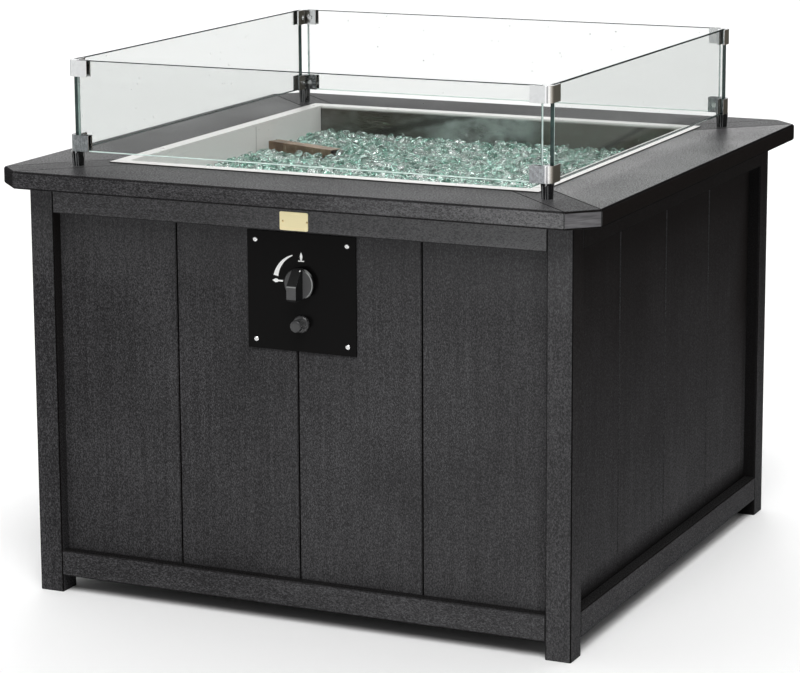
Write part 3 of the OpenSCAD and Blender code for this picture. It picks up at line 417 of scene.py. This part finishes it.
# plastic; front faces keep the grey, flanks take painted shade, edges turned a little from the front or to
# the right take a painted highlight, and the flutes of the feet a painted glint
mouldedLook = {"clouds": 22, "spread": (0.75, 1.25), "depth": 0.0002,
               "flankTurn": (0.80, 0.97), "flankDim": 0.10, "rubbed": (0.34, 0.35, 0.345),
               "creaseTurn": -0.89, "creaseWidth": (0.02, 0.07, 0.8, 0),
               "rimTurn": 0.60, "rimWidth": (0.12, 0.28, 0.8, 0),
               "glint": (0.42, 0.43, 0.44), "glintTurn": 0.15, "glintWidth": (0.06, 0.14)}


def moulded(name, colour, roughness, grain=0.15, grainSize=900, coat=0.0, specular=0.5, dimmed=0.0,
            glint=0.0):
    look, finish = mouldedLook, Finish(name)
    fine = finish.noise(finish.place, grainSize, 2, 0.6)
    cloud = finish.noise(finish.place, look["clouds"], 2, 0.5)
    shade = finish.mixed(cloud * 0.6 + fine * 0.4, *(shaded(colour, spread) for spread in look["spread"]))
    # painted shade on the flanks, and a painted highlight on edges turned a little from the front or to the
    # right
    if dimmed:
        flank = finish.remap(finish.facing("Y") * -1, *look["flankTurn"], dimmed, 0)
        shade = finish.mixed(flank, shade, shaded(colour, look["flankDim"]))
        crease = finish.remap((finish.facing("Y") - look["creaseTurn"]).size(), *look["creaseWidth"])
        rim = finish.remap((finish.facing("X") - look["rimTurn"]).size(), *look["rimWidth"])
        shade = finish.mixed(crease.larger(rim), shade, look["rubbed"])
    # painted glint: a pale band on faces turned a little to the right
    if glint:
        band = finish.remap((finish.facing("X") - look["glintTurn"]).size(), *look["glintWidth"], glint, 0)
        shade = finish.mixed(band, shade, look["glint"])
    rough = finish.remap(fine * 0.5 + cloud * 0.5, 0.3, 0.7, roughness - 0.05, roughness + 0.07)
    return finish.done(finish.principled(colour=shade, roughness=rough, coat=coat, specular=specular,
                                         normal=finish.bump(fine, grain, look["depth"])))


# grey-green panes, denser and mirroring more at a slant; dust and smears break the mirror
paneLook = {"clear": (0.946, 0.951, 0.948), "dense": (0.882, 0.890, 0.885), "density": (0.12, 0.50, 0, 1),
            "mirror": (0.25, 0.26, 0.255), "least": 0.03, "most": 0.3, "slant": 5,
            "smears": 9, "smearing": (0.35, 0.65, 0.02, 0.10),
            "dust": (0.80, 0.82, 0.80), "dustPlaces": 55, "dustSize": (0.14, 0.17, 0.35, 0)}


def paneGlass(name):
    look, finish = paneLook, Finish(name)
    smear = finish.noise(finish.place, look["smears"], 4, 0.7)
    slant = finish.node("ShaderNodeLayerWeight", {}, {"Blend": 0.5}, "Facing")
    clear, dense = (finish.node("ShaderNodeBsdfTransparent", {}, {"Color": (*look[key], 1)})
                    for key in ("clear", "dense"))
    thick = finish.remap(slant, *look["density"])
    clear = finish.node("ShaderNodeMixShader", {}, {0: thick, 1: clear, 2: dense})
    mirror = finish.principled(colour=look["mirror"], metallic=1.0,
                               roughness=finish.remap(smear, *look["smearing"]))
    gloss = slant ** look["slant"] * look["most"] + look["least"]
    pane = finish.node("ShaderNodeMixShader", {}, {0: gloss, 1: clear, 2: mirror})
    fleck = finish.node("ShaderNodeTexVoronoi", {}, {"Vector": finish.place, "Scale": look["dustPlaces"]},
                        "Distance")
    dust = finish.remap(fleck + smear * 0.22, *look["dustSize"])
    film = finish.principled(colour=look["dust"], roughness=0.8)
    return finish.done(finish.node("ShaderNodeMixShader", {}, {0: dust, 1: pane, 2: film}))


# edges of the panes; glow is painted light, an emission that stands in for the light that the pane carries
# down to its edge
edgeLook = {"streaks": 45, "streakStops": (0.34, 0.66), "roughness": 0.12, "specular": 0.7, "coat": 0.4}


def glassEdge(name, dark, light, gloss=1.0, glow=0.0):
    finish = Finish(name)
    streak = finish.noise(finish.place, edgeLook["streaks"], 3, 0.6)
    colour = finish.ramp(streak, *zip(edgeLook["streakStops"], (dark, light)))
    return finish.done(finish.principled(
        colour=colour, roughness=edgeLook["roughness"], specular=edgeLook["specular"] * gloss,
        coat=edgeLook["coat"] * gloss, emission=colour, glow=glow))


# fire stones of three tints, and the imported stones below them as pale cells with painted shade in the gaps
# between them
stoneLook = {"clouds": 48, "cloudStops": (0.40, 0.58), "ripples": 150, "ripple": 0.06, "rippleDepth": 0.0012,
             "roughness": 0.015, "transmission": 0.92, "ior": 1.5, "cells": 62.0, "bedClouds": 30,
             "bedStops": ((0.20, (0.50, 0.66, 0.60)), (0.45, (0.17, 0.27, 0.23)),
                          (0.75, (0.03, 0.06, 0.05)))}


def stoneGlass(name, pale, deep):
    look, finish = stoneLook, Finish(name)
    cloud = finish.noise(finish.place, look["clouds"], 2, 0.5)
    ripple = finish.noise(finish.place, look["ripples"], 2, 0.5)
    colour = finish.ramp(cloud, *zip(look["cloudStops"], (deep, pale)))
    return finish.done(finish.principled(
        colour=colour, roughness=look["roughness"], transmission=look["transmission"], ior=look["ior"],
        normal=finish.bump(ripple, look["ripple"], look["rippleDepth"])))


def stoneBed(name):
    finish = Finish(name)
    cell = finish.node("ShaderNodeTexVoronoi", {}, {"Vector": finish.place, "Scale": stoneLook["cells"]},
                       "Distance")
    cloud = finish.noise(finish.place, stoneLook["bedClouds"], 2, 0.5)
    # painted shade in the gaps between the cells
    colour = finish.ramp(cell * 0.8 + cloud * 0.3, *stoneLook["bedStops"])
    return finish.done(finish.principled(colour=colour, roughness=0.18,
                                         normal=finish.bump(1 - cell, 0.8, 0.004)))


lumber = {key: polyLumber(key, axis) for key, axis in
          (("X", "X"), ("Y", "Y"), ("Z", "Z"), ("rubbed", "Y"), ("boards", "Z"), ("rail", "X"))}
metal = {
    "pan": panSheet("panSheet"),
    "burner": brushedMetal("burnerTube", (0.55, 0.54, 0.52), 0.32, "Y"),
    "tinted": tintedSheet("tintedSheet"),
    "steel": brushedMetal("platedSteel", (0.72, 0.72, 0.72), 0.28, "Z"),
    "brass": brushedMetal("turnedBrass", (0.72, 0.55, 0.26), 0.28, "Z"),
    "plate": brushedMetal("brassSheet", (1.0, 0.89, 0.54), 0.36, "X", metallic=0.55, relief=0.2),
    "line": brushedMetal("gasTube", (0.62, 0.62, 0.60), 0.3, "Y"),
    "upper": castAlloy("polishedAlloy", "upper", 0.15, 0.12),
    "lower": castAlloy("shadedLowerAlloy", "lower", 0.24, 0.45),
    "screw": brushedMetal("brightScrew", (0.88, 0.88, 0.88), 0.24, "X"),
}
plastic = {
    "panel": moulded("panelBlack", (0.0036, 0.0034, 0.0034), 0.17, 0.04, 500, specular=0.05),
    "knob": moulded("knobBlack", (0.072, 0.072, 0.073), 0.42, 0.7, 1300, specular=0.08, dimmed=0.95),
    "button": moulded("buttonBlack", (0.036, 0.036, 0.037), 0.34, 0.2, 900, coat=0.3, specular=0.3),
    "gloss": moulded("footBlack", (0.006, 0.006, 0.006), 0.10, 0.03, coat=0.8, specular=0.4, glint=0.9),
    "ceramic": moulded("ceramicWhite", (0.80, 0.79, 0.75), 0.25),
    "sleeve": moulded("wireSleeve", (0.42, 0.04, 0.03), 0.5),
    "print": moulded("whitePrint", (0.82, 0.82, 0.80), 0.5, 0.1, 1600),
}
glass = {
    "pane": paneGlass("paneGlass"),
    # painted shade on the dark pane edges, painted light and glow on the pale ones
    "top": glassEdge("paneEdgeTop", (0.010, 0.012, 0.011), (0.04, 0.05, 0.046), 0.0),
    "end": glassEdge("paneEdgeDark", (0.008, 0.020, 0.018), (0.03, 0.065, 0.058), 0.35),
    "low": glassEdge("paneEdgeLow", (0.44, 0.54, 0.51), (0.66, 0.76, 0.72), 0.5, 0.35),
    "light": glassEdge("paneEdgeLight", (0.33, 0.50, 0.46), (0.70, 0.86, 0.81)),
    "stones": [stoneGlass("stoneAqua", (0.87, 0.99, 0.94), (0.56, 0.84, 0.75)),
               stoneGlass("stoneClear", (0.95, 1.0, 0.98), (0.80, 0.95, 0.89)),
               stoneGlass("stoneGreen", (0.74, 0.94, 0.86), (0.34, 0.62, 0.52))],
    "bed": stoneBed("stoneBed"),
}
print("finishes ready")


def pieceName(node):
    words = node.split("_")
    return words[0] + "".join(word.capitalize() for word in words[1:])


def addPiece(name, bm, materials, body, smoothAngle=60, weighted=True):
    mesh = bpy.data.meshes.new(name)
    bm.to_mesh(mesh)
    bm.free()
    for material in materials:
        mesh.materials.append(material)
    mesh.polygons.foreach_set("use_smooth", [True] * len(mesh.polygons))
    mesh.set_sharp_from_angle(angle=radians(smoothAngle))
    piece = bpy.data.objects.new(name, mesh)
    scene.collection.objects.link(piece)
    if weighted:  # large flat faces keep their own shading beside the small rounds
        piece.modifiers.new("flatFaces", "WEIGHTED_NORMAL").keep_sharp = True
    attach(piece, body)
    return piece


# how a CAD copy is cleaned and which edges are rounded, in metres and degrees
cleaning = {"merge": 2e-6, "flat": 0.6, "sharp": 28}


def solidOf(node):
    # a clean copy of a CAD node, its flat faces whole again
    bm = bmesh.new()
    bm.from_mesh(frame["nodes"][node].data)
    bmesh.ops.remove_doubles(bm, verts=bm.verts, dist=cleaning["merge"])
    bmesh.ops.dissolve_limit(bm, angle_limit=radians(cleaning["flat"]), verts=bm.verts, edges=bm.edges)
    return bm


def bevelEdges(bm, edges, width, segments=2, **more):
    bmesh.ops.bevel(bm, geom=edges, offset=width, offset_type="OFFSET", affect="EDGES", segments=segments,
                    profile=0.5, material=-1, **more)


def roundEdges(bm, width, segments):
    edges = [e for e in bm.edges if e.is_manifold and e.calc_face_angle(0) > radians(cleaning["sharp"])]
    bevelEdges(bm, edges, width, segments, clamp_overlap=True, miter_outer="SHARP")


def refined(node, width, material, segments=2):
    # a CAD node made again with rounded edges, width in millimetres
    bm = solidOf(node)
    roundEdges(bm, width * mm, segments)
    piece = addPiece(pieceName(node), bm, [material], bodyOf[node])
    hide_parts(node)
    return piece


def dress(node, material):
    mesh = frame["nodes"][node].data
    mesh.materials.clear()
    mesh.materials.append(material)


# rounds on the lumber's edges, in millimetres
edgeRound = {"posts": 0.9, "rails": 0.9, "boards": 0.45, "top": 1.2, "inside": 1.0}


def buildLumber():
    for node in ("post_front_left", "post_front_right", "post_back_left", "post_back_right"):
        refined(node, edgeRound["posts"], lumber["Z"])
    for side, topRail, bottomRail, board in (("front", "rail", "X", "X"), ("back", "rail", "X", "X"),
                                             ("left", "Y", "Y", "Y"), ("right", "Y", "Y", "rubbed")):
        refined("top_rail_" + side, edgeRound["rails"], lumber[topRail])
        refined("bottom_rail_" + side, edgeRound["rails"], lumber[bottomRail])
        refined("table_board_" + side, edgeRound["top"], lumber[board])
    for node in ("front_boards", "right_boards", "left_boards", "door_boards"):
        refined(node, edgeRound["boards"], lumber["boards"])
    for corner in ("front_left", "front_right", "back_left", "back_right"):
        refined("corner_board_" + corner, edgeRound["top"], lumber["X"])
    for node, axis in (("shelf_runners", "Y"), ("shelf_slats", "X"), ("door_battens", "X")):
        refined(node, edgeRound["inside"], lumber[axis])
    print("lumber built")


# fittings that are seen, with the rounds on their edges in millimetres, and fittings inside
seenFittings = {
    "fire_pan": (0.5, metal["pan"]), "spark_cover": (0.3, metal["tinted"]),
    "control_plate": (0.5, plastic["panel"]), "control_knob": (0.7, plastic["knob"]),
    "igniter_button": (0.3, plastic["button"]), "igniter_nut": (0.25, plastic["button"]),
    "plate_screws": (0.15, metal["screw"]), "brass_plate": (0.25, metal["plate"]),
    "upper_brackets": (0.5, metal["upper"]), "lower_brackets": (0.5, metal["lower"]),
    "bracket_screws": (0.25, metal["screw"]), "guard_feet": (0.3, plastic["gloss"]),
    "strike_plate": (0.2, metal["steel"]), "magnet_catch": (0.8, plastic["knob"])}
innerFittings = {
    "burner": metal["burner"], "spark_electrode": plastic["ceramic"], "stone_bed": glass["bed"],
    "valve_body": metal["brass"], "valve_plug": metal["brass"], "valve_stem": metal["steel"],
    "gas_inlet": metal["brass"], "gas_line": metal["line"], "igniter_body": metal["steel"],
    "ignition_wire": plastic["sleeve"], "hinge_frame_leaves": metal["steel"],
    "hinge_door_leaves": metal["steel"], "door_pull": plastic["knob"]}


def buildFittings():
    for node, (width, material) in seenFittings.items():
        refined(node, width, material, 3 if node == "control_knob" else 2)
    for node, material in innerFittings.items():
        dress(node, material)
    print("fittings built")


# glass panes with their green edges in painted light and shade by how they face; a face is told by how far it
# turns along an axis
paneShape = {"edgeRound": 0.8, "panes": ("glass_front", "glass_right", "glass_back", "glass_left"),
             "flatTurn": 0.98, "levelTurn": 0.3, "endTurn": 0.5}
paneFinishes = ("pane", "top", "end", "light", "low")


def paneFinish(normal, thin):
    if abs(normal[thin]) > paneShape["flatTurn"]:
        return "pane"
    if normal.z > paneShape["levelTurn"]:
        return "top"
    if normal.z < -paneShape["levelTurn"]:
        # painted light: the low edges of the front and back panes are pale and glow
        return ("end", "low")[thin]  # under the front and back panes the edge is light
    return "end" if abs(normal.y) > paneShape["endTurn"] else "light"


def buildPanes():
    for node in paneShape["panes"]:
        low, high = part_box(node)
        size = high - low
        bm = bmesh.new()
        bmesh.ops.create_cube(bm, size=1)
        bmesh.ops.scale(bm, vec=size, verts=bm.verts)
        bmesh.ops.translate(bm, vec=(low + high) / 2, verts=bm.verts)
        bevelEdges(bm, bm.edges[:], paneShape["edgeRound"] * mm)
        bm.normal_update()
        thin = 0 if size.x < size.y else 1
        for face in bm.faces:
            face.material_index = paneFinishes.index(paneFinish(face.normal, thin))
        materials = [glass[key] for key in paneFinishes]
        piece = addPiece(pieceName(node), bm, materials, bodyOf[node])
        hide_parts(node)
    print("panes built")


# flat printed shapes on the control plate, in millimetres from the knob's axis
markShape = {"thick": 0.2,
             "arcRadius": 40.0, "arcFrom": 169.0, "arcTo": 109.5, "arcWide": 7.4, "arcThin": 1.3,
             "arcSteps": 28,
             "arrow": ((-45.0, 0.7), (-39.8, 3.6), (-36.5, 2.9), (-35.6, 1.9), (-28.5, 1.9), (-28.5, -0.5),
                       (-35.6, -0.5), (-36.5, -1.5), (-39.8, -2.2)),
             "flameMiddle": 36.5, "flameTall": 12.5, "flameWide": 4.6, "flameSteps": 20,
             "base": (9.0, 1.5, 29.8)}


def jointPlace(name):
    return next(joint["pos_m"] for joint in frame["record"]["behaviour"]["joints"] if joint["name"] == name)


def buildMarks():
    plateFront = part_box("control_plate")[0].y
    axisX, _, axisZ = jointPlace("knob_turn")
    bm = bmesh.new()
    # tapered arc from low flame to high
    grid = bmesh.ops.create_grid(bm, x_segments=markShape["arcSteps"], y_segments=1, size=0.5)["verts"]
    for vert in grid:
        share, side = vert.co.x + 0.5, vert.co.y * 2
        width = markShape["arcWide"] + (markShape["arcThin"] - markShape["arcWide"]) * share
        turn = radians(markShape["arcFrom"] + (markShape["arcTo"] - markShape["arcFrom"]) * share)
        reach = markShape["arcRadius"] + side * width / 2
        vert.co = (reach * cos(turn), 0, reach * sin(turn))
    # arrow for the low end
    bm.faces.new([bm.verts.new((x, 0, z)) for x, z in markShape["arrow"]])
    # flame over a short bar, where the knob is lit
    flame = bmesh.ops.create_circle(bm, cap_ends=True, segments=markShape["flameSteps"], radius=0.5)["verts"]
    for vert in flame:
        up = vert.co.y + 0.5
        pointed = 1.5 * (1 - up) ** 0.6 * (0.35 + up)
        vert.co = (vert.co.x * markShape["flameWide"] * pointed, 0,
                   markShape["flameMiddle"] + (up - 0.5) * markShape["flameTall"])
    wide, tall, z = markShape["base"]
    bm.faces.new([bm.verts.new((x, 0, z + dz)) for x, dz in
                  ((-wide / 2, 0), (-wide / 2, tall), (wide / 2, tall), (wide / 2, 0))])
    bmesh.ops.remove_doubles(bm, verts=bm.verts, dist=0.001)
    bmesh.ops.recalc_face_normals(bm, faces=bm.faces)
    fronts = [f for f in bm.faces if f.normal.y > 0]
    bmesh.ops.reverse_faces(bm, faces=fronts)
    raised = bmesh.ops.extrude_face_region(bm, geom=bm.faces[:], use_keep_orig=True)["geom"]
    bmesh.ops.translate(bm, vec=(0, -markShape["thick"], 0),
                        verts=[v for v in raised if isinstance(v, bmesh.types.BMVert)])
    bmesh.ops.recalc_face_normals(bm, faces=bm.faces)
    bmesh.ops.scale(bm, vec=(mm, mm, mm), verts=bm.verts)
    bmesh.ops.translate(bm, vec=(axisX, plateFront, axisZ), verts=bm.verts)
    addPiece("plateMarks", bm, [plastic["print"]], "cabinet", 30)
    print("marks built")


# white pointer let into the slope of the knob's grip, set where a highlight falls, so also a painted
# highlight;
# in millimetres from the knob's axis and its front
pointerHighlightShape = {"wide": 1.5, "long": 2.4, "thick": 0.4, "edgeRound": 0.1, "aside": 5.4, "middle": 19.6,
                "behindFront": 16.9, "slope": 41.1}


def buildPointerHighlight():
    axisX, _, axisZ = jointPlace("knob_turn")
    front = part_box("control_knob")[0].y
    bm = bmesh.new()
    bmesh.ops.create_cube(bm, size=1)
    size = Vector([pointerHighlightShape[key] * mm for key in ("wide", "thick", "long")])
    bmesh.ops.scale(bm, vec=size, verts=bm.verts)
    bevelEdges(bm, bm.edges[:], pointerHighlightShape["edgeRound"] * mm)
    bmesh.ops.rotate(bm, cent=(0, 0, 0), matrix=Matrix.Rotation(-radians(pointerHighlightShape["slope"]), 3, "X"),
                     verts=bm.verts)
    # set aside from the axis, where a highlight falls: a painted highlight as well as a pointer
    place = (axisX + pointerHighlightShape["aside"] * mm, front + pointerHighlightShape["behindFront"] * mm,
             axisZ + pointerHighlightShape["middle"] * mm)
    bmesh.ops.translate(bm, vec=place, verts=bm.verts)
    addPiece("knobPointerHighlight", bm, [plastic["print"]], "control_knob", 30)
    print("pointer built")


# small round-headed screws that the CAD leaves out, in millimetres
screwHead = {"brassRadius": 1.6, "brassPlaces": ((-10.8, 577.3), (26.3, 577.3)), "hingeRadius": 3.1,
             "hingeIn": 12, "hingeUp": (10, 30, 50), "leafThick": 1.5, "around": 20, "rings": 10,
             "cut": 0.05, "domed": 0.42}


def screwAt(bm, place, radius, outwards):
    # low dome, its flat side on the plate
    made = bmesh.ops.create_uvsphere(bm, u_segments=screwHead["around"], v_segments=screwHead["rings"],
                                     radius=radius)["verts"]
    low = [v for v in made if v.co.z < -radius * screwHead["cut"]]
    bmesh.ops.delete(bm, geom=low, context="VERTS")
    made = [v for v in made if v.is_valid]
    rim = [e for e in bm.edges if e.is_boundary]
    bmesh.ops.edgeloop_fill(bm, edges=rim)
    bmesh.ops.scale(bm, vec=(1, 1, screwHead["domed"]), verts=made)
    turn = Vector((0, 0, 1)).rotation_difference(Vector(outwards)).to_matrix().to_4x4()
    bmesh.ops.transform(bm, matrix=Matrix.Translation(place) @ turn, verts=made)


def buildScrews():
    bm = bmesh.new()
    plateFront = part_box("brass_plate")[0].y
    for x, z in screwHead["brassPlaces"]:
        screwAt(bm, (x * mm, plateFront, z * mm), screwHead["brassRadius"] * mm, (0, -1, 0))
    addPiece("brassPlateScrews", bm, [metal["brass"]], "cabinet")
    bm = bmesh.new()
    low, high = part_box("hinge_door_leaves")
    for up in screwHead["hingeUp"]:
        for z in (low.z + up * mm, high.z - up * mm):
            screwAt(bm, (high.x - screwHead["hingeIn"] * mm, low.y + screwHead["leafThick"] * mm, z),
                    screwHead["hingeRadius"] * mm, (0, 1, 0))
    addPiece("hingeScrews", bm, [metal["screw"]], "access_door")
    print("screws built")


# fire stones, poured over the bed one at a time; width and wall in millimetres, other lengths in metres
stoneShape = {"count": 6000, "width": (11.5, 17.5), "flatness": (0.46, 0.66), "depth": (0.82, 1.0), "seed": 7,
              "shapes": 14, "rows": 6, "around": 10, "lumps": 0.13, "lumpSize": 2.1, "lumpStep": 7.3,
              "flatBelow": -0.2, "flatShare": 0.6, "kinds": (0, 0, 1, 1, 2), "perPiece": 1300,
              "grid": 0.004, "wall": 0.4, "tries": 3, "level": 0.5865, "topLimit": 0.5945,
              "footing": 0.42, "settle": 0.7, "sink": 0.40, "lean": 0.6, "wobble": 0.25,
              "coverHalf": (0.070, 0.011), "coverTurn": 20, "coverGap": (0.30, 0.42),
              "heap": 0.009, "heapReach": 0.035}


def stoneTemplates():
    made = []
    for k in range(stoneShape["shapes"]):
        bm = bmesh.new()
        bmesh.ops.create_uvsphere(bm, u_segments=stoneShape["around"], v_segments=stoneShape["rows"],
                                  radius=0.5)
        for vert in bm.verts:
            where = vert.co * stoneShape["lumpSize"] + Vector((k * stoneShape["lumpStep"], 0, 0))
            vert.co *= 1 + stoneShape["lumps"] * noise.noise(where)
            if vert.co.z < stoneShape["flatBelow"]:  # droplets lie on a flatter side
                below = vert.co.z - stoneShape["flatBelow"]
                vert.co.z = stoneShape["flatBelow"] + below * stoneShape["flatShare"]
        mesh = bpy.data.meshes.new("stoneShape")
        bm.to_mesh(mesh)
        bm.free()
        made.append(mesh)
    return made


def pourStones(rng):
    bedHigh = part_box("stone_bed")[1]
    coverLow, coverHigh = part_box("spark_cover")
    coverMiddle = (coverLow + coverHigh) / 2
    step, half = stoneShape["grid"], bedHigh.x
    cells = int(ceil(2 * half / step)) + 1
    ground = [[bedHigh.z] * cells for _ in range(cells)]
    coverTurn = Euler((0, 0, radians(stoneShape["coverTurn"])))
    heapMiddle = Vector((coverHigh.x, coverLow.y, 0))

    def clearOfCover(x, y, width):
        away = Vector((x - coverMiddle.x, y - coverMiddle.y, 0))
        away.rotate(coverTurn)
        return any(abs(distance) > halfSize + width * gap for distance, halfSize, gap in
                   zip(away, stoneShape["coverHalf"], stoneShape["coverGap"]))

    def groundUnder(x, y, width):
        # height, offset and index of the ground's cells under a stone
        span = int(width / 2 / step) + 1
        ci, cj = int((x + half) / step + 0.5), int((y + half) / step + 0.5)
        return [(ground[i][j], (i - ci) * step, (j - cj) * step, i, j)
                for i in range(max(ci - span, 0), min(ci + span + 1, cells))
                for j in range(max(cj - span, 0), min(cj + span + 1, cells))
                if hypot(i - ci, j - cj) * step < width * stoneShape["footing"]]

    def leaning(under):
        # slope of the ground along both axes, as turns about the other axis
        mean = sum(u[0] for u in under) / len(under)
        slopeX, slopeY = (sum((u[0] - mean) * u[k] for u in under) / sum(u[k] ** 2 for u in under)
                          for k in (1, 2))
        return (max(-stoneShape["lean"], min(stoneShape["lean"], turn)) for turn in (slopeY, -slopeX))

    poured = []
    for _ in range(stoneShape["count"]):
        width = rng.uniform(*stoneShape["width"]) * mm
        thick = width * rng.uniform(*stoneShape["flatness"])
        reach = half - width / 2 - stoneShape["wall"] * mm
        best = None
        for _ in range(stoneShape["tries"]):
            x, y = rng.uniform(-reach, reach), rng.uniform(-reach, reach)
            if clearOfCover(x, y, width):
                under = groundUnder(x, y, width)
                rest = sorted(u[0] for u in under)[int(len(under) * stoneShape["settle"])]
                if best is None or rest < best[0]:
                    best = (rest, x, y, under)
        if best is None:
            continue
        rest, x, y, under = best
        z = rest + thick * stoneShape["sink"]
        away = hypot(x - heapMiddle.x, y - heapMiddle.y) / stoneShape["heapReach"]
        heap = stoneShape["heap"] * max(0.0, 1 - away)
        if z > stoneShape["level"] + heap or z + thick / 2 > stoneShape["topLimit"] + heap:
            continue
        wobble = stoneShape["wobble"]
        leanX, leanY = (lean + rng.uniform(-wobble, wobble) for lean in leaning(under))
        lean = Euler((leanX, leanY, rng.uniform(0, 2 * pi)))
        for _, dx, dy, i, j in under:
            bulge = max(0.0, 1 - (hypot(dx, dy) / (width / 2)) ** 2)
            ground[i][j] = max(ground[i][j], z + thick / 2 * sqrt(bulge))
        poured.append((Vector((x, y, z)), width, thick, lean))
    return poured


def buildStones():
    rng = random.Random(stoneShape["seed"])
    poured = pourStones(rng)
    print("stones poured:", len(poured))
    shapes = stoneTemplates()
    for k in range(0, len(poured), stoneShape["perPiece"]):
        bm = bmesh.new()
        for place, width, thick, lean in poured[k:k + stoneShape["perPiece"]]:
            mesh = rng.choice(shapes).copy()
            deep = width * rng.uniform(*stoneShape["depth"])
            mesh.transform(Matrix.LocRotScale(place, lean, (width, deep, thick)))
            before = len(bm.faces)
            bm.from_mesh(mesh)
            kind = rng.choice(stoneShape["kinds"])
            bm.faces.ensure_lookup_table()
            for face in bm.faces[before:]:
                face.material_index = kind
            bpy.data.meshes.remove(mesh)
        piece = addPiece("fireStones%d" % (k // stoneShape["perPiece"] + 1), bm, glass["stones"],
                         bodyOf["fire_stones"], 180, False)
        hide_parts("fire_stones")
    for mesh in shapes:
        bpy.data.meshes.remove(mesh)
    print("stones built")


def buildFloor():
    bm = bmesh.new()
    bmesh.ops.create_grid(bm, x_segments=2, y_segments=2, size=studio["floorSize"])
    mesh = bpy.data.meshes.new("floor")
    bm.to_mesh(mesh)
    bm.free()
    finish = Finish("floorPale")
    cloud = finish.noise(finish.place, studio["floorClouds"], 2, 0.5)
    colour = finish.mixed(cloud, shaded(studio["floorColour"], studio["floorDim"]), studio["floorColour"])
    mesh.materials.append(finish.done(finish.principled(colour=colour, roughness=0.7, specular=0.2)))
    floor = bpy.data.objects.new("floor", mesh)
    scene.collection.objects.link(floor)


def buildSky():
    world = bpy.data.worlds.new("studioWorld")
    scene.world = world
    world.use_nodes = True
    sky = Finish("sky", world.node_tree)
    way = sky.node("ShaderNodeTexCoord", {}, {}, "Generated")

    def closeness(direction):
        return sky.node("ShaderNodeVectorMath", {"operation": "DOT_PRODUCT"},
                        {0: way, 1: Vector(direction).normalized()}, "Value")

    bright = closeness(studio["brightTowards"])
    strength = sky.remap(bright, *studio["fade"], studio["dim"], studio["bright"])
    for lamp in studio["lamps"]:
        strength = strength + sky.remap(closeness(lamp), *studio["lampEdge"], 0, studio["lampBright"])
    sky.done(sky.node("ShaderNodeBackground", {}, {"Color": (1, 1, 1, 1), "Strength": strength}),
             "ShaderNodeOutputWorld")


def buildStudio():
    buildFloor()
    buildSky()
    data = bpy.data.lights.new("sun", "SUN")
    data.energy = studio["sunStrength"]
    data.angle = radians(studio["sunAngle"])
    sun = bpy.data.objects.new("sun", data)
    scene.collection.objects.link(sun)
    sun.rotation_euler = Vector(studio["sunFrom"]).to_track_quat("Z", "Y").to_euler()
    scene.view_settings.view_transform = "Standard"
    print("studio built")


addCamera()
buildLumber()
buildFittings()
buildPanes()
buildMarks()
buildPointerHighlight()
buildScrews()
buildStones()
buildStudio()
